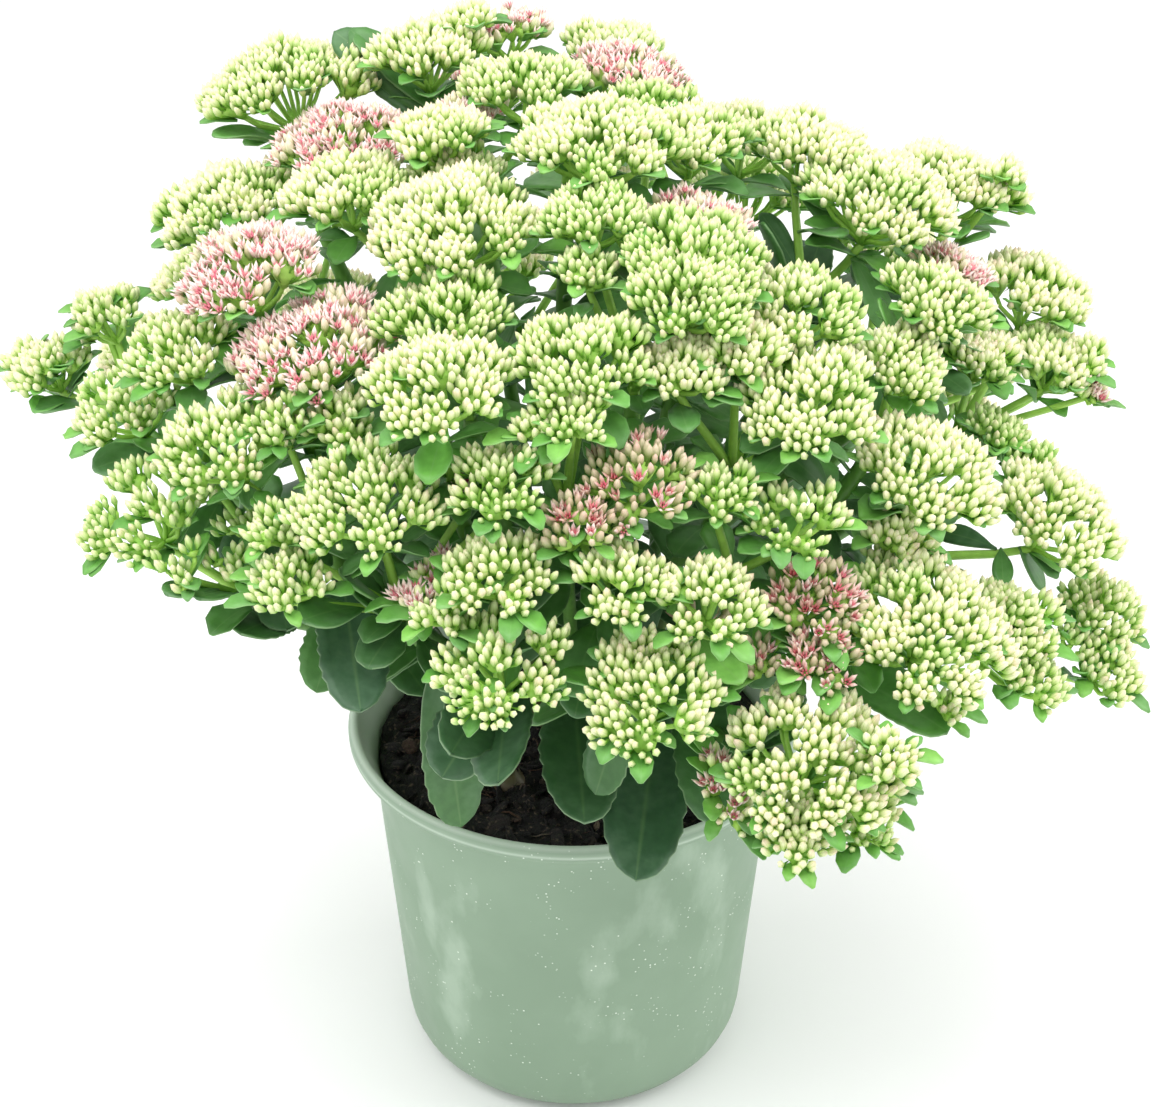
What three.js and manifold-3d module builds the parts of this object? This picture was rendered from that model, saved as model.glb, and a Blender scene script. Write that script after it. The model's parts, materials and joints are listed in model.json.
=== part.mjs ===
// Stonecrop in a nursery pot: peat, leafy stems that rise from it, and on each stem a head
// made of one to five domes of buds or of open flowers.
// Millimetres, +Z up, origin at the middle of the face that the pot stands on.
import * as THREE from "three";
import { mergeVertices } from "three/addons/utils/BufferGeometryUtils.js";
import Module from "manifold-3d";

const wasm = await Module();
wasm.setup();

// Pot: a 19 cm nursery pot that holds about three litres
const potHeight = 165;
const rimRadius = 95;
const wallTopRadius = 85;
const footRadius = 75;
const footRound = 20;
const potWall = 1.8;
const potSides = 30;
const drainHoles = 6;
const drainRadius = 4;
const drainRing = 42;

// Peat
const peatTop = 151;
const peatGap = 0.3;
const peatSides = 24;
const peatLump = 2.6;

// Plant
const stemRadius = 2.7;
const branchRadius = 1.7;
const branchSides = 4;
const crownRadius = 7.5;
const crownDepth = 26;
const crownRise = 5;
const jointGap = 0.35;
const meshSlack = 0.3;
const stemSides = 5;
const stemSteps = 5;
const leafLength = 56;
const leafSlim = 0.56; // width over length
const toothedFrom = 20; // width of the narrowest toothed leaf
const leafThick = 1.8;
const leafPlaces = [0.76, 0.5]; // along a stem
const leafClear = 14; // between spots on two leaves
const headClear = 8;
const stemClear = 8.5;
const budTurns = 5; // buds in the first ring of a dome
const budRise = 0.2; // over a dome's radius
const neckDrop = 0.66; // over a dome's radius
const droopFrom = 360; // heads lower than this hang on stems that arch over
const droopRange = 120;
const spread = new THREE.Vector3(0, 0, 110); // the point that all heads face away from

const up = new THREE.Vector3(0, 0, 1);
const vec = (x, y, z) => new THREE.Vector3(x, y, z);

const looks = {
  pot: { color: 0x9db69c, roughness: 0.55 },
  peat: { color: 0x2a1e17, roughness: 0.95 },
  stem: { color: 0x4f8a3e, roughness: 0.5 },
  bud: { color: 0xdfe6b0, roughness: 0.55 },
  flower: { color: 0xe39aa2, roughness: 0.6 },
};

// Crowns in the peat that the stems rise from: x, y
const crowns = {
  mid_left: [-13, 9], mid_right: [13, 9], mid_front: [0, -14],
  front: [0, -40], front_left: [-27, -31], front_right: [27, -31],
  left: [-41, -4], right: [41, -4], back_left: [-30, 27], back_right: [30, 27], back: [0, 38],
};

// Shoots: name, crown, flower kind, then the domes of its head as x, y, z, width
const shoots = [
  ["upper_left", "mid_left", "bud", [[-114, 78, 417, 74]]],
  ["top_left", "mid_left", "bud", [[-58, 73, 430, 55], [-19, 38, 429, 54]]],
  ["top_pink", "mid_left", "flower", [[-27, 107, 427, 41], [21, 74, 420, 54]]],
  ["top_back", "mid_right", "bud", [[17, 121, 416, 46]]],
  ["top_middle", "mid_right", "bud", [[8, -22, 430, 64], [44, 1, 420, 48], [29, 29, 422, 40]]],
  ["top_right", "mid_right", "bud", [[87, 26, 410, 54], [112, -2, 401, 66]]],
  ["outer_right_top", "mid_right", "bud", [[151, 40, 388, 58]]],
  ["outer_left_top", "mid_left", "bud", [[-132, 29, 385, 66]]],
  ["upper_left_front", "mid_left", "bud",
    [[-82, -21, 410, 54], [-48, -11, 427, 44], [-43, -12, 413, 40]]],
  ["left_pink", "mid_left", "flower", [[-88, 33, 408, 62], [-42, 34, 414, 34]]],
  ["upper_front_left", "mid_front", "bud", [[-41, -56, 412, 68], [-43, -89, 392, 52]]],
  ["upper_front_right", "mid_front", "bud",
    [[8, -62, 416, 44], [42, -85, 410, 58], [39, -102, 404, 48], [5, -80, 403, 26]]],
  ["middle_pink", "mid_right", "flower", [[46, -36, 403, 44]]],
  ["far_left", "left", "bud", [[-206, 6, 326, 42], [-181, 8, 345, 38]]],
  ["left_front_pink", "front_left", "flower",
    [[-114, -60, 395, 60], [-87, -86, 379, 58], [-112, -85, 369, 24]]],
  ["left_shoulder", "left", "bud", [[-138, -73, 370, 45], [-162, -56, 341, 50]]],
  ["left_front", "front_left", "bud",
    [[-117, -109, 352, 57], [-79, -108, 361, 32], [-98, -114, 363, 26]]],
  ["centre_left", "mid_front", "bud", [[-44, -133, 386, 56]]],
  ["centre", "front", "bud", [[4, -121, 390, 50], [0, -139, 379, 29], [-12, -139, 375, 20]]],
  ["centre_right", "mid_front", "bud",
    [[36, -112, 382, 36], [75, -83, 391, 50], [79, -115, 374, 56], [56, -107, 388, 34]]],
  ["right_shoulder", "front_right", "bud",
    [[129, -52, 380, 46], [115, -73, 367, 42]]],
  ["right_pink", "mid_right", "flower", [[142, -11, 374, 34]]],
  ["far_right", "right", "bud", [[182, 25, 349, 54], [187, -3, 332, 46], [154, -19, 341, 34]]],
  ["low_left", "left", "bud", [[-150, -100, 322, 56], [-135, -124, 313, 24]]],
  ["front_left_low", "front_left", "bud",
    [[-66, -143, 349, 59], [-24, -145, 358, 40], [-95, -148, 321, 34], [-99, -137, 335, 26]]],
  ["front_pink", "front", "flower", [[21, -141, 357, 48], [3, -154, 347, 31]]],
  ["front_sprig", "front_right", "bud",
    [[48, -137, 350, 33], [74, -141, 341, 40]]],
  ["right_front", "front_right", "bud",
    [[121, -110, 344, 60], [176, -75, 306, 58], [112, -114, 320, 30],
      [161, -33, 316, 34], [172, -42, 309, 26]]],
  ["front_low", "front_left", "bud",
    [[-25, -162, 333, 42], [-24, -177, 307, 54], [-43, -165, 321, 26]]],
  ["front_drop", "front_right", "bud", [[16, -166, 332, 40], [25, -182, 299, 54], [45, -166, 326, 42]]],
  ["low_pink", "front_right", "flower", [[79, -148, 315, 42], [83, -161, 300, 32]]],
  ["low_right", "front_right", "bud", [[121, -146, 303, 64]]],
  ["far_right_low", "right", "bud",
    [[158, -111, 282, 40], [201, -65, 258, 44], [163, -121, 265, 34], [200, -85, 245, 34]]],
  ["drooping_right", "front_right", "bud",
    [[80, -185, 276, 64], [95, -178, 252, 34], [75, -195, 255, 34], [99, -187, 249, 24]]],
  ["back_left", "back_left", "bud", [[-150, 94, 329, 62], [-107, 133, 355, 60], [-177, 50, 314, 44]]],
  ["back_pink", "back_left", "flower", [[-45, 130, 388, 60]]],
  ["back_right", "back_right", "bud", [[70, 92, 388, 56], [78, 142, 348, 62], [36, 144, 376, 40]]],
  ["right_back", "back_right", "bud", [[135, 100, 338, 62], [166, 84, 268, 54], [178, 56, 306, 44]]],
  ["back", "back", "bud", [[10, 165, 343, 62], [-38, 187, 288, 60], [-54, 156, 334, 46]]],
  ["back_left_low", "back_left", "bud", [[-116, 160, 286, 62]]],
  ["back_low", "back", "bud", [[42, 195, 278, 60], [108, 165, 268, 60]]],
];

// Leaves that hang from a stem below the heads: shoot, place along its stem (0 to 1),
// where the tip is as x, y, z, and width
const bigLeaves = [
  ["left_front", 0.93, [-72, -147, 270], 25],
  ["left_front", 0.86, [-89, -124, 262], 20],
  ["front_left_low", 0.78, [-43, -110, 197], 25],
  ["front_low", 0.78, [-45, -143, 237], 27],
  ["centre", 0.33, [4, -141, 213], 30],
  ["front_drop", 0.86, [10, -131, 225], 20],
  ["low_pink", 0.65, [51, -141, 216], 27],
  ["drooping_right", 0.42, [23, -141, 189], 32],
  ["drooping_right", 0.62, [73, -137, 199], 24],
  ["low_right", 0.9, [128, -152, 262], 24],
  ["centre_left", 0.96, [-4, -146, 345], 14],
  ["top_right", 0.96, [68, -1, 392], 14],
  ["right_pink", 0.96, [143, -46, 338], 12],
  ["right_front", 0.96, [148, -92, 264], 14],
];

// Leaves on the branches of a head: head, dome, place along the dome's branch (0 to 1),
// where the tip is as x, y, z, and width
const headLeaves = [
  ["top_left", 0, 0.7, [-88, 87, 433], 23],
  ["upper_left", 0, 0.8, [-141, 50, 401], 18],
  ["outer_left_top", 0, 0.7, [-120, 9, 378], 13],
  ["top_right", 0, 0.6, [97, -29, 392], 13],
  ["right_shoulder", 0, 0.6, [107, -49, 380], 15],
  ["outer_right_top", 0, 0.5, [160, 19, 373], 11],
  ["far_left", 0, 0.6, [-207, -12, 313], 12],
  ["front_drop", 0, 0.7, [-1, -160, 341], 15],
  ["front_drop", 2, 0.7, [54, -177, 299], 16],
  ["front_drop", 1, 0.7, [-6, -163, 294], 17],
  ["low_left", 1, 0.5, [-139, -132, 305], 13],
];

// Draws the same numbers each run
function seeded(seed) {
  let state = seed;
  return () => {
    state = (state * 16807) % 2147483647;
    return state / 2147483647;
  };
}

function solidFrom(geometry) {
  const plain = geometry.clone();
  plain.deleteAttribute("normal");
  plain.deleteAttribute("uv");
  const merged = mergeVertices(plain, 1e-4);
  const vertProperties = new Float32Array(merged.attributes.position.array);
  const triVerts = [];
  const index = merged.index.array;
  for (let i = 0; i < index.length; i += 3) {
    const [a, b, c] = [index[i], index[i + 1], index[i + 2]];
    if (a !== b && b !== c && c !== a) triVerts.push(a, b, c);
  }
  return new wasm.Manifold(new wasm.Mesh({
    numProp: 3, vertProperties, triVerts: new Uint32Array(triVerts),
  }));
}

// Drops the slivers that a join leaves
function lightened(solid) {
  return solid.asOriginal().simplify(meshSlack);
}

function meshFrom(solid, name, look) {
  const { vertProperties, triVerts } = solid.getMesh();
  const geometry = new THREE.BufferGeometry();
  geometry.setAttribute("position", new THREE.BufferAttribute(vertProperties, 3));
  geometry.setIndex(new THREE.BufferAttribute(triVerts, 1));
  geometry.computeVertexNormals();
  const mesh = new THREE.Mesh(geometry, new THREE.MeshStandardMaterial({ ...look, metalness: 0 }));
  mesh.name = name;
  return mesh;
}

function geometryFrom(points, triangles) {
  const geometry = new THREE.BufferGeometry();
  geometry.setAttribute("position",
    new THREE.BufferAttribute(new Float32Array(points.flatMap((p) => [p.x, p.y, p.z])), 3));
  geometry.setIndex(triangles.flat());
  return geometry;
}

// Round bar along a curve
function barAlong(curve, radius, sides, steps) {
  const outline = new THREE.Shape();
  for (let i = 0; i < sides; i++) {
    const turn = (2 * Math.PI * i) / sides;
    const [x, y] = [radius * Math.cos(turn), radius * Math.sin(turn)];
    if (i === 0) outline.moveTo(x, y);
    else outline.lineTo(x, y);
  }
  outline.closePath();
  return solidFrom(new THREE.ExtrudeGeometry(outline, {
    steps, extrudePath: curve, bevelEnabled: false, curveSegments: 1,
  }));
}

// Pot wall as a closed profile of radius and height, with a rolled rim and a rounded foot
function potSolid() {
  const bandFoot = potHeight - 13;
  const profile = [[0, 0], [footRadius - footRound, 0]];
  for (const turn of [25, 50, 75]) {
    const angle = THREE.MathUtils.degToRad(turn);
    profile.push([footRadius - footRound + footRound * Math.sin(angle),
      footRound - footRound * Math.cos(angle)]);
  }
  profile.push([wallTopRadius, bandFoot - 4], [wallTopRadius + 4, bandFoot + 3],
    [rimRadius - 1, potHeight - 6], [rimRadius, potHeight - 4], [rimRadius - 1.2, potHeight]);
  profile.push([rimRadius - 3.4, potHeight], [rimRadius - 4.6, potHeight - 3],
    [wallTopRadius + 2, bandFoot + 3], [wallTopRadius - potWall, bandFoot - 4],
    [footRadius - potWall - 0.8, footRound - 4], [footRadius - footRound + 6, potWall + 3],
    [footRadius - footRound, potWall + 0.6], [0, potWall + 0.6]);
  const points = profile.map(([radius, z]) => new THREE.Vector2(radius, z));
  let pot = solidFrom(new THREE.LatheGeometry(points, potSides).rotateX(Math.PI / 2));
  for (let i = 0; i < drainHoles; i++) {
    const turn = (2 * Math.PI * (i + 0.5)) / drainHoles;
    const hole = new THREE.CylinderGeometry(drainRadius, drainRadius, 12, 8).rotateX(Math.PI / 2);
    pot = pot.subtract(solidFrom(hole.translate(drainRing * Math.cos(turn), drainRing * Math.sin(turn), 0)));
  }
  return pot;
}

// Height of the peat's crumbly top above its level, at x, y
function peatBump(x, y) {
  return peatLump * (0.6 * Math.sin(x * 0.11 + 1.3) * Math.cos(y * 0.13)
    + 0.4 * Math.sin(x * 0.27 - y * 0.21) + 0.3 * Math.cos(x * 0.35 + y * 0.31 + 0.6));
}

// Peat fills the pot, and each crown stands in a plain hole
function peatSolid() {
  const floor = potWall + 0.6 + peatGap;
  const inside = potWall + peatGap;
  const edge = wallTopRadius - inside - 0.6;
  const profile = [[0, floor], [footRadius - footRound - 1, floor],
    [footRadius - footRound + 5.4, potWall + 3.6], [footRadius - inside - 1.6, footRound - 3],
    [edge, peatTop - 4], [edge - 9, peatTop]];
  for (const share of [0.7, 0.4, 0]) profile.push([(edge - 9) * share, peatTop + 1]);
  const geometry = new THREE.LatheGeometry(
    profile.map(([radius, z]) => new THREE.Vector2(radius, z)), peatSides).rotateX(Math.PI / 2);
  const place = geometry.attributes.position;
  for (let i = 0; i < place.count; i++) {
    if (place.getZ(i) >= peatTop - 1) {
      place.setZ(i, place.getZ(i) + peatBump(place.getX(i), place.getY(i)));
    }
  }
  let peat = solidFrom(geometry);
  for (const [x, y] of Object.values(crowns)) {
    const depth = crownDepth + jointGap;
    const hole = new THREE.CylinderGeometry(crownRadius + jointGap, crownRadius + jointGap, depth + 20, 6)
      .rotateX(Math.PI / 2).translate(x, y, peatTop - depth + (depth + 20) / 2);
    peat = peat.subtract(solidFrom(hole));
  }
  return peat;
}

// A dome's axis leans between straight up and straight away from the middle of the plant
function domeAxis(centre) {
  return centre.clone().sub(spread).normalize().multiplyScalar(0.55).addScaledVector(up, 0.45).normalize();
}

// Two directions across an axis
function across(axis) {
  const u = vec(1, 0, 0.3).cross(axis).normalize();
  return [u, axis.clone().cross(u)];
}

// Where a dome's branch meets its underside
function domeNeck([x, y, z, width]) {
  const centre = vec(x, y, z);
  return centre.clone().addScaledVector(domeAxis(centre), -neckDrop * width / 2);
}

// Ring i of a dome has i times as many buds as the first. The middle of each triangle of three
// buds is a valley, so that every bud stands up as a pointed cell. The branch starts at a foot,
// where a ring lies across the way it leaves.
function domeSolid(dome, foot, way, draw) {
  const [x, y, z, width] = dome;
  const radius = width / 2;
  const rings = width >= 70 ? 3 : width > 40 ? 2 : 1;
  const centre = vec(x, y, z);
  const axis = domeAxis(centre);
  const [u, v] = across(axis);
  const at = (reach, turn, lift) => centre.clone()
    .addScaledVector(u, radius * reach * Math.cos(turn))
    .addScaledVector(v, radius * reach * Math.sin(turn))
    .addScaledVector(axis, radius * (0.25 - 0.45 * reach * reach) + lift);
  const twist = draw() * Math.PI;
  const points = [];
  const number = [[0]];
  points.push(at(0, 0, 0));
  for (let ring = 1; ring <= rings; ring++) {
    number.push([]);
    for (let i = 0; i < budTurns * ring; i++) {
      const turn = twist + (2 * Math.PI * i) / (budTurns * ring) + (draw() - 0.5) * 0.5 / ring;
      number[ring].push(points.length);
      points.push(at((ring + (draw() - 0.5) * 0.3) / (rings + 0.15), turn, (draw() - 0.5) * 2.5));
    }
  }
  const cells = [];
  for (let ring = 1; ring <= rings; ring++) {
    const outer = (i) => number[ring][i % (budTurns * ring)];
    const inner = (i) => (ring === 1 ? 0 : number[ring - 1][i % (budTurns * (ring - 1))]);
    for (let side = 0; side < budTurns; side++) {
      for (let j = 0; j < ring; j++) {
        cells.push([outer(side * ring + j), outer(side * ring + j + 1), inner(side * (ring - 1) + j)]);
        if (j < ring - 1) {
          cells.push([inner(side * (ring - 1) + j + 1), inner(side * (ring - 1) + j),
            outer(side * ring + j + 1)]);
        }
      }
    }
  }
  const depth = budRise * radius * (rings === 1 ? 0.9 : 1.6 / rings + 0.1);
  const mean = (list, drop) => list.reduce((sum, p) => sum.add(points[p]), vec(0, 0, 0))
    .divideScalar(list.length).addScaledVector(axis, -drop);
  const valleyOf = new Map();
  for (const cell of cells) {
    const valley = points.length;
    points.push(mean(cell, depth));
    for (let k = 0; k < 3; k++) valleyOf.set(`${cell[k]},${cell[(k + 1) % 3]}`, valley);
  }
  const rim = number[rings];
  const loop = [];
  rim.forEach((bud, i) => {
    const next = rim[(i + 1) % rim.length];
    const notch = points.length;
    const dip = mean([bud, next], depth * 1.1);
    points.push(dip.lerp(centre.clone().addScaledVector(axis, -radius * 0.25), 0.14));
    valleyOf.set(`${next},${bud}`, notch);
    loop.push(bud, notch);
  });
  const triangles = [];
  for (const [edge, valley] of valleyOf) {
    const [a, b] = edge.split(",").map(Number);
    if (a < b) {
      const other = valleyOf.get(`${b},${a}`);
      triangles.push([a, other, valley], [b, valley, other]);
    }
  }
  // Underside: ridges run down from the rim to the branch that carries the dome
  const neck = domeNeck(dome);
  const neckRing = [];
  const footRing = [];
  const [footU, footV] = across(way);
  for (let side = 0; side < branchSides; side++) {
    const turn = twist + (2 * Math.PI * (side + 0.5)) / branchSides;
    neckRing.push(points.length);
    points.push(neck.clone().addScaledVector(u, branchRadius * 1.4 * Math.cos(turn))
      .addScaledVector(v, branchRadius * 1.4 * Math.sin(turn)));
  }
  // The branch's foot ring is turned to lie next to the neck ring
  const firstAngle = Math.atan2(points[neckRing[0]].clone().sub(neck).dot(footV),
    points[neckRing[0]].clone().sub(neck).dot(footU));
  for (let side = 0; side < branchSides; side++) {
    const turn = firstAngle + (2 * Math.PI * side) / branchSides;
    footRing.push(points.length);
    points.push(foot.clone().addScaledVector(footU, branchRadius * Math.cos(turn))
      .addScaledVector(footV, branchRadius * Math.sin(turn)));
  }
  const sideOf = (i) => Math.floor((i * branchSides) / loop.length);
  for (let i = 0; i < loop.length; i++) {
    const beyond = loop[(i + 1) % loop.length];
    const side = sideOf(i);
    triangles.push([beyond, loop[i], neckRing[side]]);
    if (sideOf(i + 1) > side) {
      triangles.push([beyond, neckRing[side], neckRing[(side + 1) % branchSides]]);
    }
  }
  for (let side = 0; side < branchSides; side++) {
    const next = (side + 1) % branchSides;
    triangles.push([neckRing[next], neckRing[side], footRing[side]]);
    triangles.push([neckRing[next], footRing[side], footRing[next]]);
    if (side > 0 && side < branchSides - 1) triangles.push([footRing[0], footRing[next], footRing[side]]);
  }
  return solidFrom(geometryFrom(points, triangles));
}

// Where a shoot's branches meet, and the way that its stem arrives there. The stem of a low
// head has arched over, and arrives from nearer the middle of the plant.
function shootHub(domes) {
  const middle = vec(0, 0, 0);
  let widest = 0;
  for (const [x, y, z, width] of domes) {
    middle.add(vec(x, y, z).divideScalar(domes.length));
    widest = Math.max(widest, width);
  }
  const droop = THREE.MathUtils.clamp((droopFrom - middle.z) / droopRange, 0, 1);
  const direction = domeAxis(middle).lerp(middle.clone().setZ(0).normalize(), 0.8 * droop).normalize();
  const drop = 12 + widest * (domes.length > 1 ? 0.75 : 0.55);
  return { hub: middle.addScaledVector(direction, -drop), direction, droop };
}

// Where the branches of a head start
function branchFoot(domes) {
  const { hub, direction } = shootHub(domes);
  return domes.length > 1 ? hub : hub.addScaledVector(direction, -3);
}

// The leaves that stand on a head's branches
function leavesOnHead(name, domes) {
  return headLeaves.filter(([head]) => head === name).map(([, number, place, tip, width]) => {
    const foot = branchFoot(domes).lerp(domeNeck(domes[number]), place);
    return leafTo(name, foot, tip, width);
  });
}

function headSolid(name, domes, draw) {
  const { hub, direction } = shootHub(domes);
  const leaves = leavesOnHead(name, domes).map(leafSolid);
  if (domes.length === 1) {
    const head = domeSolid(domes[0], branchFoot(domes), direction, draw);
    return leaves.reduce((whole, leaf) => whole.add(leaf), head);
  }
  const knot = new THREE.CylinderGeometry(branchRadius * 1.3, stemRadius, 6, 5).rotateX(Math.PI / 2);
  knot.applyQuaternion(new THREE.Quaternion().setFromUnitVectors(up, direction));
  knot.translate(hub.x, hub.y, hub.z);
  let head = solidFrom(knot);
  for (const dome of domes) {
    head = head.add(domeSolid(dome, hub, domeNeck(dome).sub(hub).normalize(), draw));
  }
  return leaves.reduce((whole, leaf) => whole.add(leaf), head);
}

// A stem rises from its crown and bends out to its head
function stemCurve(crown, domes) {
  const { hub, direction, droop } = shootHub(domes);
  const top = hub.clone().addScaledVector(direction, -3 - jointGap);
  const lean = top.clone().setZ(0).normalize();
  const foot = vec(crown[0], crown[1], peatTop + 1).addScaledVector(lean, 1.5);
  const climb = (top.z - foot.z) * (0.55 + 0.35 * droop);
  return new THREE.CubicBezierCurve3(foot, foot.clone().addScaledVector(up, climb),
    top.clone().addScaledVector(direction, -climb * 0.6), top);
}

// Point on the middle of a stem's bar, and the way that the stem runs there
function onStem(curve, place) {
  const corners = curve.getSpacedPoints(stemSteps);
  const step = Math.min(Math.floor(place * stemSteps), stemSteps - 1);
  const along = corners[step + 1].clone().sub(corners[step]);
  return { foot: corners[step].clone().addScaledVector(along, place * stemSteps - step),
    along: along.normalize() };
}

// Blade outlines: places along the leaf and half widths there, as shares of its length and width
const plainBlade = [[0, 0.045], [0.4, 0.4], [0.76, 0.5], [1, 0.14]];
const toothedBlade = [[0, 0.05], [0.3, 0.32], [0.52, 0.46], [0.64, 0.5], [0.68, 0.45],
  [0.82, 0.42], [0.86, 0.34], [1, 0.08]];

// A leaf that reaches from its foot to a tip
function leafTo(name, foot, tip, width) {
  const reach = vec(...tip).sub(foot);
  const length = reach.length();
  return { name, foot, length, width, sag: 0.12, blade: width < toothedFrom ? plainBlade : toothedBlade,
    direction: reach.addScaledVector(up, 0.12 * length).normalize() };
}

// A leaf's middle line and the way across it
function leafLine({ foot, direction, length, sag }) {
  const side = direction.clone().cross(up).normalize();
  const at = (share) => foot.clone().addScaledVector(direction, length * share)
    .addScaledVector(up, -sag * length * share * share);
  return { side, at };
}

function leafSolid(leaf) {
  const { side, at } = leafLine(leaf);
  const points = [];
  for (const [share, half] of leaf.blade) {
    const ahead = at(share + 0.02).sub(at(share - 0.02)).normalize();
    const normal = side.clone().cross(ahead).normalize();
    for (const face of [0.5, -0.5]) {
      for (const hand of [-1, 1]) {
        points.push(at(share).addScaledVector(side, hand * half * leaf.width)
          .addScaledVector(normal, face * leafThick));
      }
    }
  }
  // Each station is upper left, upper right, lower left, lower right
  const triangles = [];
  const last = (leaf.blade.length - 1) * 4;
  for (let s = 0; s < last; s += 4) {
    const [a, b, c, d, e, f, g, h] = [0, 1, 2, 3, 4, 5, 6, 7].map((step) => s + step);
    triangles.push([a, b, f], [a, f, e], [c, h, d], [c, g, h],
      [a, e, g], [a, g, c], [b, d, h], [b, h, f]);
  }
  triangles.push([0, 2, 3], [0, 3, 1], [last, last + 1, last + 3], [last, last + 3, last + 2]);
  return solidFrom(geometryFrom(points, triangles));
}

// Points spread over a leaf, to keep it clear of what is near it
function leafPoints(leaf) {
  const { side, at } = leafLine(leaf);
  const spots = [];
  for (const [share, half] of [[0.2, 0.2], [0.4, 0.4], [0.6, 0.48], [0.8, 0.46], [1, 0.14]]) {
    for (const hand of [-1, -0.5, 0, 0.5, 1]) {
      spots.push(at(share).addScaledVector(side, hand * half * leaf.width));
    }
  }
  return spots;
}

// Points on a head: each dome's rim, its middle and the branch under it
function headPoints(domes) {
  const { hub } = shootHub(domes);
  const spots = [];
  for (const [x, y, z, width] of domes) {
    const centre = vec(x, y, z);
    const axis = domeAxis(centre);
    const [u, v] = across(axis);
    for (const [reach, lift, count] of [[1, -0.2, 14], [0.6, 0.05, 8], [0.55, -0.4, 6], [0, 0.2, 1]]) {
      for (let i = 0; i < count; i++) {
        const turn = (2 * Math.PI * i) / count;
        spots.push(centre.clone().addScaledVector(axis, lift * width / 2)
          .addScaledVector(u, reach * width / 2 * Math.cos(turn))
          .addScaledVector(v, reach * width / 2 * Math.sin(turn)));
      }
    }
    for (const share of [0, 0.3, 0.6]) spots.push(hub.clone().lerp(centre, share));
  }
  return spots;
}

// How low a leaf may hang at a distance from the pot's middle: over the peat, over the rim,
// and beyond it, where leaves are held up under the heads
function lowestLeaf(reach) {
  if (reach < 72) return peatTop + 8;
  return reach < rimRadius + 8 ? potHeight + 8 : 215 + (reach - rimRadius) * 0.9;
}

// Leaves stand in pairs across each stem. A leaf that would come near a neighbour is tried
// at a few other turns, and left out if it finds no room.
function leavesFor(draw) {
  const curves = new Map(shoots.map(([name, crown, , domes]) => [name, stemCurve(crowns[crown], domes)]));
  const stemSpots = new Map([...curves].map(([name, curve]) => [name, curve.getPoints(30)]));
  const headSpots = shoots.flatMap(([, , , domes]) => headPoints(domes));
  const leafSpots = shoots.flatMap(([name, , , domes]) => leavesOnHead(name, domes).flatMap(leafPoints));
  const leaves = [];
  const near = (spots, others, gap) => spots.some((a) => others.some((b) => a.distanceTo(b) < gap));
  const clear = (name, leaf) => {
    const spots = leafPoints(leaf);
    if (spots.some((spot) => spot.z < lowestLeaf(Math.hypot(spot.x, spot.y)))) return false;
    if (near(spots, headSpots, headClear) || near(spots, leafSpots, leafClear)) return false;
    for (const [other, points] of stemSpots) {
      if (near(other === name ? spots.slice(8) : spots, points, stemClear)) return false;
    }
    leafSpots.push(...spots);
    return true;
  };
  for (const [name, place, tip, width] of bigLeaves) {
    const leaf = leafTo(name, onStem(curves.get(name), place).foot, tip, width);
    leafSpots.push(...leafPoints(leaf));
    leaves.push(leaf);
  }
  for (const place of leafPlaces) {
    for (const [name] of shoots) {
      const { foot, along } = onStem(curves.get(name), place);
      const out = foot.clone().setZ(0).normalize();
      const n1 = out.addScaledVector(along, -out.dot(along)).normalize();
      const n2 = along.clone().cross(n1);
      const first = (draw() - 0.5) * 60 + leafPlaces.indexOf(place) * 90;
      const size = 0.85 + 0.3 * draw();
      for (const half of [0, 180]) {
        for (const nudge of [0, 28, -28, 56, -56]) {
          const turn = THREE.MathUtils.degToRad(first + half + nudge);
          const rise = place > 0.7 ? 0.45 : 0.2;
          const direction = n1.clone().multiplyScalar(Math.cos(turn)).addScaledVector(n2, Math.sin(turn))
            .addScaledVector(along, rise).normalize();
          const length = leafLength * size * (place > 0.7 ? 0.85 : 1);
          const leaf = { name, foot, length, width: length * leafSlim, sag: 0.25, blade: plainBlade,
            direction };
          if (Math.abs(direction.z) < 0.93 && clear(name, leaf)) {
            leaves.push(leaf);
            break;
          }
        }
      }
    }
  }
  return leaves;
}

const plant = new THREE.Group();
plant.name = "potted_stonecrop";
plant.add(meshFrom(potSolid(), "pot", looks.pot));
plant.add(meshFrom(peatSolid(), "peat", looks.peat));

const draw = seeded(41);
for (const [name, , kind, domes] of shoots) {
  plant.add(meshFrom(lightened(headSolid(name, domes, draw)), `head_${name}`, looks[kind]));
}

const leaves = leavesFor(seeded(7));
for (const [crown, [x, y]] of Object.entries(crowns)) {
  const height = crownDepth + crownRise;
  let stems = solidFrom(new THREE.CylinderGeometry(crownRadius - 1, crownRadius, height, 6)
    .rotateX(Math.PI / 2).translate(x, y, peatTop + (crownRise - crownDepth) / 2));
  for (const [name, home, , domes] of shoots) {
    if (home !== crown) continue;
    stems = stems.add(barAlong(stemCurve([x, y], domes), stemRadius, stemSides, stemSteps));
    for (const leaf of leaves.filter((one) => one.name === name)) {
      stems = stems.add(leafSolid(leaf));
    }
  }
  plant.add(meshFrom(lightened(stems), `stems_${crown}`, looks.stem));
}

export default plant;
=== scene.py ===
# Potted stonecrop: a nursery pot of peat, leafy stems, and flat heads of buds and open flowers
import bmesh
import bpy
import json
import numpy as np
from math import cos, hypot, pi, radians, sin
from mathutils import Matrix, Vector, noise

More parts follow.
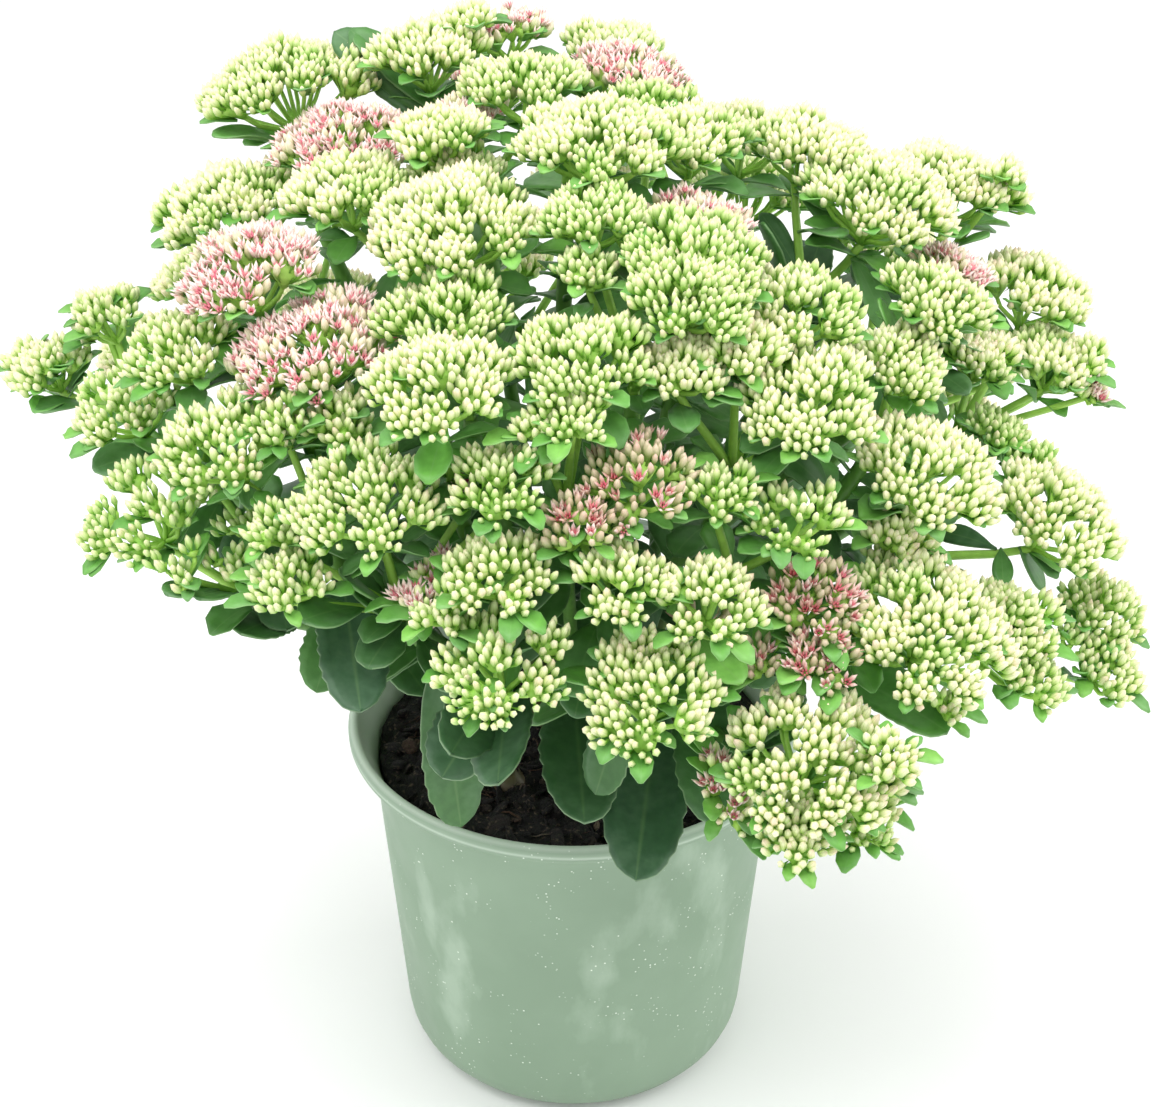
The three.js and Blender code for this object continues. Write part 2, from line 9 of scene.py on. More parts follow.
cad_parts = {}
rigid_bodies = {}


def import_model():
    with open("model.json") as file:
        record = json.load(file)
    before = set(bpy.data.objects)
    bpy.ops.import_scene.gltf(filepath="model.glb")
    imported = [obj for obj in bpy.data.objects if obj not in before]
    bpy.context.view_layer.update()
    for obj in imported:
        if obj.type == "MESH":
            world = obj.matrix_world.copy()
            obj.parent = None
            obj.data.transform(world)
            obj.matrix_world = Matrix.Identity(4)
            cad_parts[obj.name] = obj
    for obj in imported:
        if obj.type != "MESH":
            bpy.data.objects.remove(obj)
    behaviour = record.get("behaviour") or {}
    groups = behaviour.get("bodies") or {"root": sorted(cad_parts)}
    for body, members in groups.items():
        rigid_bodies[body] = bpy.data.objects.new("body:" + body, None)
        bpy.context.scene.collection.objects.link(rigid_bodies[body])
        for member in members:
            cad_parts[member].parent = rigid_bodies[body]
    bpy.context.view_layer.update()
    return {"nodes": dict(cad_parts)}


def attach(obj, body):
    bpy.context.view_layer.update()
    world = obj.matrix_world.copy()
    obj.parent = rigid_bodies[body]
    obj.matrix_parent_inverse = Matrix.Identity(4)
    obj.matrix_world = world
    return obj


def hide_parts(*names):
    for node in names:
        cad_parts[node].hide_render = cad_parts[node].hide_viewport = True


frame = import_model()
print("frame loaded:", len(frame["nodes"]), "nodes")
mm = 0.001

# camera, floor and light

view = {"at": (0.0014, -0.7722, 0.7042), "towards": (0.0014, 0, 0.242), "lens": 69.4}
studio = {
    "floor": 0.93, "sky": 0.96,
    "boxes": {  # place, aimed at, size, watts
        "top": ((-0.15, -0.45, 1.5), (0, 0, 0.3), 1.1, 13),
        "left": ((-1.3, -0.1, 0.8), (0, 0, 0.25), 1.0, 5),
        "right": ((1.3, 0.0, 0.8), (0, 0, 0.25), 1.0, 8),
    },
}


def aimed(thing, at, towards):
    thing.location = at
    thing.rotation_euler = (Vector(towards) - Vector(at)).to_track_quat("-Z", "Y").to_euler()
    bpy.context.scene.collection.objects.link(thing)


def addCamera():
    lens = bpy.data.cameras.new("photoCamera")
    lens.lens = view["lens"]
    lens.sensor_fit = "HORIZONTAL"
    lens.sensor_width = 36
    lens.clip_start = 0.01
    camera = bpy.data.objects.new("photoCamera", lens)
    aimed(camera, view["at"], view["towards"])
    bpy.context.scene.camera = camera


def addLights():
    for name, (at, towards, size, watts) in studio["boxes"].items():
        lamp = bpy.data.lights.new(name, "AREA")
        lamp.size = size
        lamp.energy = watts
        aimed(bpy.data.objects.new(name, lamp), at, towards)
    world = bpy.data.worlds.new("studio")
    world.use_nodes = True
    sky = world.node_tree.nodes["Background"].inputs
    sky["Color"].default_value = (1, 1, 1, 1)
    sky["Strength"].default_value = studio["sky"]
    bpy.context.scene.world = world
    bpy.context.scene.view_settings.view_transform = "Standard"


def meshOf(name, bm):
    mesh = bpy.data.meshes.new(name)
    bm.to_mesh(mesh)
    bm.free()
    return mesh


def addPiece(name, mesh):
    piece = bpy.data.objects.new(name, mesh)
    bpy.context.scene.collection.objects.link(piece)
    return piece


def shader(skin):
    return skin.node_tree.nodes["Principled BSDF"].inputs


def newSkin(name, roughness):
    skin = bpy.data.materials.new(name)
    skin.use_nodes = True
    shader(skin)["Roughness"].default_value = roughness
    return skin


def addFloor():
    bm = bmesh.new()
    bmesh.ops.create_grid(bm, x_segments=2, y_segments=2, size=3)
    floor = addPiece("floor", meshOf("floor", bm))
    skin = newSkin("paleFloor", 0.9)
    shader(skin)["Base Color"].default_value = (studio["floor"],) * 3 + (1,)
    floor.data.materials.append(skin)


addCamera()
addLights()
addFloor()
print("camera, lights and floor are in place")

# materials


def linear(red, green, blue):
    # colours are written as the photo's 0 to 255 values
    parts = [c / 255 for c in (red, green, blue)]
    return tuple(c / 12.92 if c < 0.04045 else ((c + 0.055) / 1.055) ** 2.4 for c in parts) + (1,)


def node(skin, kind, **values):
    made = skin.node_tree.nodes.new("ShaderNode" + kind)
    for key, value in values.items():
        if hasattr(made, key):
            setattr(made, key, value)
        else:
            made.inputs[key].default_value = value
    return made


def fill(skin, socket, value):
    # a socket gets a constant or another node's output
    if isinstance(value, (int, float, tuple)):
        socket.default_value = value
    else:
        skin.node_tree.links.new(value, socket)


def ramp(skin, source, *stops):
    # a stop is a place and a grey, a colour of the photo, or a tint that has a fourth number
    made = node(skin, "ValToRGB")
    elements = made.color_ramp.elements
    while len(elements) < len(stops):
        elements.new(0.5)
    for element, (place, colour) in zip(elements, stops):
        if isinstance(colour, (int, float)):
            colour = (colour, colour, colour, 1)
        element.position = place
        element.color = colour if len(colour) == 4 else linear(*colour)
    fill(skin, made.inputs["Fac"], source)
    return made.outputs["Color"]


def mixed(skin, factor, below, above, blend="MIX"):
    made = node(skin, "Mix", data_type="RGBA", blend_type=blend)
    for place, value in ((0, factor), (6, below), (7, above)):  # the sockets of a colour mix
        fill(skin, made.inputs[place], value)
    return made.outputs[2]


def times(skin, first, second):
    return mixed(skin, 1.0, first, second, "MULTIPLY")


def maths(skin, operation, first, second=0.5):
    made = node(skin, "Math", operation=operation)
    fill(skin, made.inputs[0], first)
    fill(skin, made.inputs[1], second)
    return made.outputs[0]


def fromMiddle(skin, value):
    return maths(skin, "ABSOLUTE", maths(skin, "SUBTRACT", value, 0.5))


def attribute(skin, name):
    return node(skin, "Attribute", attribute_name=name).outputs["Fac"]


def coordinates(skin, space):
    # x, y and z of a point; "UV" gives u and v
    made = node(skin, "SeparateXYZ")
    fill(skin, made.inputs[0], node(skin, "TexCoord").outputs[space])
    return made.outputs


def objectNoise(skin, scale, detail=3, stretch=(1, 1, 1)):
    # scale in waves for each metre
    mapping = node(skin, "Mapping", Scale=stretch)
    fill(skin, mapping.inputs["Vector"], node(skin, "TexCoord").outputs["Object"])
    made = node(skin, "TexNoise", Scale=scale, Detail=detail)
    fill(skin, made.inputs["Vector"], mapping.outputs["Vector"])
    return made.outputs["Fac"]


def bumped(skin, height, strength, distance):
    made = node(skin, "Bump", Strength=strength, Distance=distance)
    fill(skin, made.inputs["Height"], height)
    fill(skin, shader(skin)["Normal"], made.outputs["Normal"])


def roughened(skin, cloud, smooth, rough):
    fill(skin, shader(skin)["Roughness"], ramp(skin, cloud, (0.3, smooth), (0.7, rough)))


def painted(skin, colour):
    fill(skin, shader(skin)["Base Color"], colour)
    return skin


def budSkin(name, ripeStops, greenStops, blush):
    # u goes round the bud, v from its stalk's foot to its tip
    skin = newSkin(name, 0.42)
    u, v, _ = coordinates(skin, "UV")
    colour = mixed(skin, attribute(skin, "ripe"), ramp(skin, v, *greenStops), ramp(skin, v, *ripeStops))
    flushed = times(skin, ramp(skin, attribute(skin, "tint"), (0.8, 0), (1.0, 0.55)),
                    ramp(skin, v, (0.45, 0), (0.85, 1)))
    colour = mixed(skin, flushed, colour, linear(*blush))
    # the five petals meet in faint green seams
    around = maths(skin, "FRACT", maths(skin, "MULTIPLY", u, 5.0))
    seam = ramp(skin, fromMiddle(skin, around), (0.0, 0.5), (0.12, 0))
    colour = mixed(skin, seam, colour, linear(176, 194, 124))
    shade = ramp(skin, attribute(skin, "tint"), (0.0, (0.86, 0.9, 0.84, 1)), (0.7, 1))
    return painted(skin, times(skin, colour, shade))


def leafSkin(name):
    # u goes across the blade; "tint" is 0 on dark leaves and 1 on bright ones
    skin = newSkin(name, 0.46)
    blade = ramp(skin, attribute(skin, "tint"), (0.0, (60, 96, 70)), (0.3, (74, 120, 66)),
                 (0.6, (92, 150, 68)), (0.85, (110, 176, 76)), (1.0, (136, 198, 90)))
    bloom = ramp(skin, objectNoise(skin, 55, 4), (0.45, 0), (0.7, 0.3))
    colour = mixed(skin, bloom, blade, linear(116, 146, 122))
    colour = times(skin, colour, ramp(skin, objectNoise(skin, 220), (0.35, (0.84, 0.86, 0.84, 1)),
                                      (0.65, (1.08, 1.06, 1.04, 1))))
    sideways = fromMiddle(skin, coordinates(skin, "UV")["X"])
    midrib = ramp(skin, sideways, (0.0, 0.26), (0.04, 0))
    colour = mixed(skin, midrib, colour, linear(132, 168, 108))
    margin = ramp(skin, sideways, (0.474, 0), (0.5, 0.28))
    colour = mixed(skin, margin, colour, linear(170, 200, 150))
    bumped(skin, objectNoise(skin, 160), 0.25, 0.0006)
    roughened(skin, objectNoise(skin, 90, 2), 0.38, 0.56)
    return painted(skin, colour)


def sprigSkin(name):
    # the fleshy stalks that buds stand on, from mid green to lime
    skin = newSkin(name, 0.5)
    colour = ramp(skin, attribute(skin, "tint"), (0.0, (92, 148, 54)), (0.5, (142, 198, 74)),
                  (1.0, (176, 220, 102)))
    mottled = ramp(skin, objectNoise(skin, 300), (0.3, (0.86, 0.88, 0.84, 1)),
                   (0.7, (1.08, 1.06, 1.04, 1)))
    bumped(skin, objectNoise(skin, 700, 2), 0.2, 0.0003)
    return painted(skin, times(skin, colour, mottled))


def petalSkin(name):
    # cream petals with a rosy stroke along each; UV as on the buds
    skin = newSkin(name, 0.5)
    u, v, _ = coordinates(skin, "UV")
    blade = ramp(skin, v, (0.0, (190, 204, 132)), (0.3, (244, 228, 208)), (0.65, (250, 226, 220)),
                 (1.0, (252, 242, 228)))
    offset = fromMiddle(skin, maths(skin, "FRACT", maths(skin, "MULTIPLY_ADD", u, 5.0)))
    stroke = ramp(skin, offset, (0.0, 0.9), (0.1, 0.3), (0.22, 0))
    along = ramp(skin, v, (0.1, 0), (0.3, 1), (0.7, 0.55), (0.95, 0.1))
    some = ramp(skin, attribute(skin, "tint"), (0.1, 0.35), (0.8, 1))
    colour = mixed(skin, times(skin, times(skin, stroke, along), some), blade, linear(232, 122, 152))
    # flowers that go over have a low "ripe" and turn dusky
    dusk = ramp(skin, attribute(skin, "ripe"), (0.2, (0.76, 0.62, 0.54, 1)), (0.7, 1))
    return painted(skin, times(skin, colour, dusk))


def stemSkin(name):
    # greener and paler as the stem rises
    skin = newSkin(name, 0.45)
    rise = maths(skin, "DIVIDE", coordinates(skin, "Object")["Z"], 0.45)
    colour = ramp(skin, rise, (0.33, (84, 66, 50)), (0.37, (90, 98, 56)), (0.5, (80, 126, 54)),
                  (0.8, (114, 166, 70)), (1.0, (134, 184, 80)))
    streaks = ramp(skin, objectNoise(skin, 500, 3, (1, 1, 0.12)), (0.3, (0.82, 0.84, 0.8, 1)),
                   (0.7, (1.08, 1.08, 1.05, 1)))
    bumped(skin, objectNoise(skin, 600, 2, (1, 1, 0.2)), 0.2, 0.0004)
    return painted(skin, times(skin, colour, streaks))


def potSkin(name):
    skin = newSkin(name, 0.5)
    cloud = ramp(skin, objectNoise(skin, 14, 5), (0.42, 0), (0.72, 0.5))
    colour = mixed(skin, cloud, linear(126, 150, 126), linear(142, 166, 142))
    scuffs = ramp(skin, objectNoise(skin, 30, 7, (1, 1, 0.55)), (0.58, 0), (0.7, 0.42))
    colour = mixed(skin, scuffs, colour, linear(180, 200, 180))
    specks = node(skin, "TexVoronoi", Scale=380)
    fill(skin, specks.inputs["Vector"], node(skin, "TexCoord").outputs["Object"])
    dust = ramp(skin, specks.outputs["Distance"], (0.1, 1), (0.17, 0))
    few = ramp(skin, objectNoise(skin, 60, 4), (0.52, 0), (0.6, 1))
    colour = mixed(skin, times(skin, dust, few), colour, linear(226, 236, 224))
    # painted highlights: pale lines round the rim and on its top; painted light: the inside of its lip is
    # painted paler, as if lit
    rise = maths(skin, "DIVIDE", coordinates(skin, "Object")["Z"], 0.17)
    # painted highlights in thin bands by height, on the rim's curves and its top
    rimHighlights = ramp(skin, rise, (0.897, 0), (0.902, 0.55), (0.907, 0), (0.94, 0), (0.945, 0.6), (0.951, 0.1),
                (0.963, 0.1), (0.968, 0.8))
    colour = mixed(skin, rimHighlights, colour, linear(208, 224, 208))
    # painted light: the inside of the lip is painted paler, standing in for its being lit
    colour = mixed(skin, attribute(skin, "inside"), colour, linear(200, 218, 198))
    bumped(skin, objectNoise(skin, 900, 2), 0.08, 0.0003)
    roughened(skin, objectNoise(skin, 40, 4), 0.42, 0.6)
    return painted(skin, colour)


def peatSkin(name):
    skin = newSkin(name, 0.85)
    crumbs = ramp(skin, objectNoise(skin, 480, 8), (0.42, (2, 2, 2)), (0.52, (11, 9, 8)),
                  (0.6, (50, 41, 34)), (0.72, (140, 122, 102)))
    bits = ramp(skin, attribute(skin, "tint"), (0.0, (3, 3, 3)), (0.35, (10, 8, 7)),
                (0.6, (42, 31, 24)), (0.85, (112, 78, 56)), (1.0, (186, 176, 162)))
    bumped(skin, objectNoise(skin, 640, 7), 1.0, 0.0022)
    return painted(skin, mixed(skin, 0.5, crumbs, bits))


finishes = {  # buds have stops for ripe and for green ones, then the blush of some tips
    "bud": budSkin(
        "budSkin",
        [(0.0, (138, 200, 68)), (0.15, (158, 214, 82)), (0.36, (196, 230, 124)), (0.6, (230, 238, 176)),
         (0.82, (248, 244, 208)), (1.0, (246, 222, 194))],
        [(0.0, (114, 180, 64)), (0.15, (130, 194, 74)), (0.45, (158, 208, 98)), (0.75, (198, 226, 138)),
         (1.0, (228, 234, 174))],
        (236, 200, 180)),
    "flowerBud": budSkin(
        "openingBud",
        [(0.0, (116, 166, 62)), (0.15, (146, 184, 84)), (0.35, (206, 218, 146)), (0.65, (244, 236, 204)),
         (1.0, (246, 220, 204))],
        [(0.0, (88, 132, 58)), (0.3, (132, 150, 84)), (0.6, (186, 176, 132)), (1.0, (214, 178, 156))],
        (232, 172, 172)),
    "petal": petalSkin("petalSkin"),
    "carpel": budSkin(
        "carpelSkin",
        [(0.0, (244, 190, 190)), (0.5, (238, 138, 158)), (1.0, (226, 100, 132))],
        [(0.0, (226, 150, 144)), (0.5, (210, 90, 104)), (1.0, (184, 58, 82))],
        (222, 92, 126)),
    "sprig": sprigSkin("sprigSkin"),
    "leaf": leafSkin("leafSkin"),
    "stem": stemSkin("stemSkin"),
    "pot": potSkin("sagePlastic"),
    "peat": peatSkin("moistPeat"),
}
print("materials:", ", ".join(finishes))

# small shapes that are repeated, with the place of their finish in a piece's list

budSlot, leafSlot, sprigSlot, petalSlot, carpelSlot = range(5)
firstSlot = 0  # the stems', the pot's and the peat's own finish


def ringShell(profile, sides, foot=None, tip=None):
    # rings of (height, radius) along Z, closed by a point or a flat face at either end
    bm = bmesh.new()
    height, radius = profile[0]
    bmesh.ops.create_circle(bm, segments=sides, radius=radius, cap_ends=False,
                            matrix=Matrix.Translation((0, 0, height)))
    first = list(bm.edges)
    edges = first
    for nextHeight, nextRadius in profile[1:]:
        grown = bmesh.ops.extrude_edge_only(bm, edges=edges)["geom"]
        verts = [part for part in grown if isinstance(part, bmesh.types.BMVert)]
        edges = [part for part in grown if isinstance(part, bmesh.types.BMEdge) and part.is_boundary]
        bmesh.ops.scale(bm, vec=(nextRadius / radius, nextRadius / radius, 1), verts=verts)
        bmesh.ops.translate(bm, vec=(0, 0, nextHeight - height), verts=verts)
        height, radius = nextHeight, nextRadius
    for rim, point in ((first, foot), (edges, tip)):
        if point is None:
            bmesh.ops.contextual_create(bm, geom=rim)
        else:
            grown = bmesh.ops.extrude_edge_only(bm, edges=rim)["geom"]
            verts = [part for part in grown if isinstance(part, bmesh.types.BMVert)]
            bmesh.ops.pointmerge(bm, verts=verts, merge_co=(0, 0, point))
    bmesh.ops.recalc_face_normals(bm, faces=bm.faces)
    return bm


def pattern(bm, finish=firstSlot, heights=None):
    # the shape as arrays, so that it can be copied many times: u goes round, v along Z
    bm.verts.ensure_lookup_table()
    bm.verts.index_update()
    points = np.array([v.co for v in bm.verts])
    corners, sizes, uvs = [], [], []
    low, high = points[:, 2].min(), points[:, 2].max()
    for face in bm.faces:
        around = [np.arctan2(v.co.y, v.co.x) / (2 * pi) % 1 for v in face.verts]
        onAxis = [v.co.xy.length < 1e-9 for v in face.verts]
        known = [u for u, centred in zip(around, onAxis) if not centred]
        if known and max(known) - min(known) > 0.5:
            around = [u + 1 if u < 0.5 else u for u in around]
            known = [u for u, centred in zip(around, onAxis) if not centred]
        middle = sum(known) / max(len(known), 1)
        for v, u, centred in zip(face.verts, around, onAxis):
            along = (v.co.z - low) / (high - low)
            if heights:
                along = np.interp(v.co.z, *heights)
            corners.append(v.index)
            uvs.append((middle if centred else u, along))
        sizes.append(len(face.verts))
    bm.free()
    return {"points": points, "corners": np.array(corners), "sizes": np.array(sizes),
            "uvs": np.array(uvs), "finishes": np.full(len(sizes), finish)}


def merged(patterns):
    # several shapes as one
    whole = {key: [] for key in patterns[0]}
    count = 0
    for one in patterns:
        for key, values in one.items():
            whole[key].append(values + count if key == "corners" else values)
        count += len(one["points"])
    return {key: np.concatenate(values) for key, values in whole.items()}


def startBatch():
    kept = ("points", "corners", "sizes", "uvs", "finishes", "tint", "ripe")
    return {"count": 0, **{key: [] for key in kept}}


def addCopies(batch, shape, places, tints, ripe=1.0):
    # places holds the points of each copy; tints has one number for each
    copies, size = len(places), len(shape["points"])
    starts = batch["count"] + size * np.arange(copies)
    batch["points"].append(places.reshape(-1, 3))
    batch["corners"].append((starts[:, None] + shape["corners"][None]).ravel())
    batch["sizes"].append(np.tile(shape["sizes"], copies))
    batch["uvs"].append(np.tile(shape["uvs"], (copies, 1)))
    batch["finishes"].append(np.tile(shape["finishes"], copies))
    batch["tint"].append(np.repeat(tints, size))
    batch["ripe"].append(np.full(copies * size, ripe) if np.isscalar(ripe) else np.repeat(ripe, size))
    batch["count"] += copies * size


def addOne(batch, shape, points, tint):
    # one copy, with its points in millimetres
    addCopies(batch, shape, points[None] * mm, [tint])


def finishBatch(batch, name, materials):
    data = {key: np.concatenate(values) for key, values in batch.items() if key != "count"}
    mesh = bpy.data.meshes.new(name)
    mesh.vertices.add(len(data["points"]))
    mesh.vertices.foreach_set("co", data["points"].astype(np.float32).ravel())
    mesh.loops.add(len(data["corners"]))
    mesh.loops.foreach_set("vertex_index", data["corners"].astype(np.int32))
    mesh.polygons.add(len(data["sizes"]))
    starts = np.concatenate([[0], np.cumsum(data["sizes"])[:-1]])
    mesh.polygons.foreach_set("loop_start", starts.astype(np.int32))
    mesh.polygons.foreach_set("material_index", data["finishes"].astype(np.int32))
    mesh.update(calc_edges=True)
    mesh.uv_layers.new(name="UVMap").data.foreach_set("uv", data["uvs"].astype(np.float32).ravel())
    for key in ("tint", "ripe"):
        mesh.attributes.new(key, "FLOAT", "POINT").data.foreach_set("value", data[key].astype(np.float32))
    mesh.shade_smooth()
    for material in materials:
        mesh.materials.append(finishes[material])
    return addPiece(name, mesh)


def crossways(directions, helpers):
    # two directions across each direction
    first = np.cross(directions, helpers)
    first /= np.linalg.norm(first, axis=1, keepdims=True)
    return first, np.cross(directions, first)


def standing(shape, bases, directions, lengths, widths, ends, spin):
    # copies of an upright shape; what lies below its height 0 is a stalk that runs to its end
    first, second = crossways(directions, spin)
    x, y, z = shape["points"].T
    above, below = np.maximum(z, 0), np.minimum(z, 0)
    return (bases[:, None] + first[:, None] * (x[None] * widths[:, None])[..., None]
            + second[:, None] * (y[None] * widths[:, None])[..., None]
            + directions[:, None] * (above[None] * lengths[:, None])[..., None]
            - (ends - bases)[:, None] * below[None, :, None])


def tubeAlong(shape, path, radii):
    # a straight unit tube bent along a path, with a ring at each of its points
    steps = np.gradient(path, axis=0)
    steps /= np.linalg.norm(steps, axis=1, keepdims=True)
    first = np.zeros_like(path)
    helper = np.array([0.31, 0.87, 0.38])
    for i, step in enumerate(steps):
        helper = helper - step * helper.dot(step)
        helper /= np.linalg.norm(helper)
        first[i] = helper
    second = np.cross(steps, first)
    x, y, z = shape["points"].T
    k = np.rint(z * (len(path) - 1)).astype(int)
    return path[k] + (radii[k] * x)[:, None] * first[k] + (radii[k] * y)[:, None] * second[k]


def tubeShape(sides, rings, finish):
    profile = [(i / (rings - 1), 1.0) for i in range(rings)]
    return pattern(ringShell(profile, sides), finish)


budShape = pattern(
    ringShell([(0.0, 0.24), (0.36, 0.5), (0.74, 0.37)], 5, foot=-1.0, tip=1.03),
    budSlot, ([-1.0, 0.0, 0.36, 0.74, 1.03], [0.0, 0.15, 0.45, 0.78, 1.0]))
clusterCore = pattern(ringShell([(0.0, 0.16), (0.7, 1.0)], 6, foot=-0.05, tip=1.0), sprigSlot)


def leaned(profile, sides, size, lean, shift, turn, finish):
    # a pointed form that leans out from the middle of a flower
    bm = ringShell(profile, sides, foot=0.0, tip=1.0)
    bmesh.ops.scale(bm, vec=size, verts=bm.verts)
    bmesh.ops.rotate(bm, matrix=Matrix.Rotation(radians(lean), 3, "Y"), verts=bm.verts)
    bmesh.ops.translate(bm, vec=shift, verts=bm.verts)
    bmesh.ops.transform(bm, matrix=Matrix.Rotation(turn, 4, "Z"), verts=bm.verts)
    return pattern(bm, finish)


def flowerShape(opening):
    # five petals round five upright carpels, on a stalk; sizes over the flower's width
    petals = [leaned([(0.28, 0.42), (0.6, 0.5)], 4, (0.09, 0.22, 0.68), opening, (0.07, 0, 0.02),
                     2 * pi * i / 5, petalSlot) for i in range(5)]
    carpels = [leaned([(0.4, 0.5)], 3, (0.15, 0.15, 0.42), 12, (0.06, 0, 0.05),
                      2 * pi * (i + 0.5) / 5, carpelSlot) for i in range(5)]
    stalk = pattern(ringShell([(0.0, 0.07)], 5, foot=-1.0, tip=0.06), sprigSlot)
    return merged(petals + carpels + [stalk])


bladeOutlines = {  # half width over width, at places along the leaf
    "toothed": ([0, 0.08, 0.25, 0.45, 0.62, 0.78, 0.9, 0.97, 1],
                [0.07, 0.11, 0.32, 0.46, 0.5, 0.46, 0.35, 0.2, 0]),
    "plain": ([0, 0.08, 0.25, 0.45, 0.65, 0.8, 0.92, 1], [0.06, 0.09, 0.27, 0.43, 0.5, 0.47, 0.35, 0.08]),
    "bract": ([0, 0.1, 0.35, 0.6, 0.85, 1], [0.16, 0.2, 0.42, 0.5, 0.4, 0.1]),
}


def bladeShape(outline, columns, rows, teeth):
    # x across in widths, y along in lengths, z from one face of the blade to the other
    bm = bmesh.new()
    bmesh.ops.create_grid(bm, x_segments=columns, y_segments=rows, size=0.5)
    bmesh.ops.solidify(bm, geom=list(bm.faces), thickness=1.0)
    bmesh.ops.recalc_face_normals(bm, faces=bm.faces)
    bm.verts.ensure_lookup_table()
    bm.verts.index_update()
    grid = np.array([v.co for v in bm.verts])
    corners = np.array([v.index for face in bm.faces for v in face.verts])
    sizes = np.array([len(face.verts) for face in bm.faces])
    bm.free()
    across, along = grid[:, 0] * 2, grid[:, 1] + 0.5
    through = (grid[:, 2] - grid[:, 2].min()) - 0.5
    # the rows crowd towards the tip, where the outline turns fastest
    along = 1 - (1 - along) ** 1.15
    half = np.interp(along, *bladeOutlines[outline])
    if teeth:  # a smooth foot, then a few shallow notches that are not evenly spaced
        saw = (along * teeth + 0.35 * np.sin(along * 9)) % 1
        half = half * (1 + 0.11 * (saw - 0.6) * (along > 0.42) * (along < 0.96))
    rounding = np.sqrt(np.clip(1 - 0.75 * across ** 4, 0, 1))
    points = np.stack([across * half, along, through * rounding], axis=1)
    uvs = np.stack([across / 2 + 0.5, along], axis=1)[corners]
    return {"points": points, "corners": corners, "sizes": sizes, "uvs": uvs,
            "finishes": np.full(len(sizes), leafSlot)}


leafShapes = {  # the first of each is also for leaves on heads
    "toothed": [bladeShape("toothed", 6, 30, teeth) for teeth in (8, 9, 11)],
    "plain": [bladeShape("plain", 4, 11, teeth) for teeth in (0, 5, 6)],
    "bract": [bladeShape("bract", 2, 4, 0)],
    "collar": [bladeShape("plain", 4, 5, 0)],
}


def leafPlace(shape, leaf, rng, thick):
    # a blade laid along its leaf's line, a little cupped, twisted and waved
    x, y, z = shape["points"].T
    foot, direction, length, width = leaf["foot"], leaf["direction"], leaf["length"], leaf["width"]
    side = unit(np.cross(direction, up))
    ahead = direction[None] - up[None] * (2 * leaf["sag"] * y)[:, None]
    ahead = ahead / np.linalg.norm(ahead, axis=1, keepdims=True)
    normal = np.cross(side[None], ahead)
    roll = radians(leaf.get("roll", 0))
    side, normal = side * cos(roll) + normal * sin(roll), normal * cos(roll) - side * sin(roll)
    middle = (foot + direction[None] * (length * y)[:, None]
              - up[None] * (leaf["sag"] * length * y * y)[:, None])
    cup = leaf.get("cup", rng.uniform(0.1, 0.32))
    wave = rng.uniform(0.0, 0.035) * width
    phase = rng.uniform(0, 2 * pi)
    lift = (cup * width * (x ** 2) * 2 * np.sin(pi * np.clip(y, 0, 1)) ** 0.5
            + wave * np.sin(y * 9 + phase) * x * 2)
    twist = rng.uniform(-0.25, 0.25) * y
    across = side * np.cos(twist)[:, None] + normal * np.sin(twist)[:, None]
    return middle + across * (x * width)[:, None] + normal * (z * thick + lift)[:, None]


# where the plant's stems, heads and leaves are, in millimetres, as in the solid model

up = np.array([0.0, 0.0, 1.0])
spread = np.array([0.0, 0.0, 110.0])  # all heads face away from here
peatTop = 151
potHeight = 165
rimRadius = 95
crowns = {
    "mid_left": (-13, 9), "mid_right": (13, 9), "mid_front": (0, -14), "front": (0, -40),
    "front_left": (-27, -31), "front_right": (27, -31), "left": (-41, -4), "right": (41, -4),
    "back_left": (-30, 27), "back_right": (30, 27), "back": (0, 38),
}
habit = {
    "out": 0.55, "up": 0.45,  # how far a dome faces outwards and upwards
    "archBelow": 360, "archOver": 120, "arch": 0.8,  # stems of low heads arch outwards
    "hub": 12, "hubOne": 0.55, "hubMany": 0.75,  # from a head down to where its branches meet
    "neck": 0.33, "branch": 3, "join": 3.35,  # from a dome to its neck, from a hub to its stem
    "climb": 0.55, "climbLow": 0.35, "ease": 0.6,  # how steeply a stem starts and ends
}
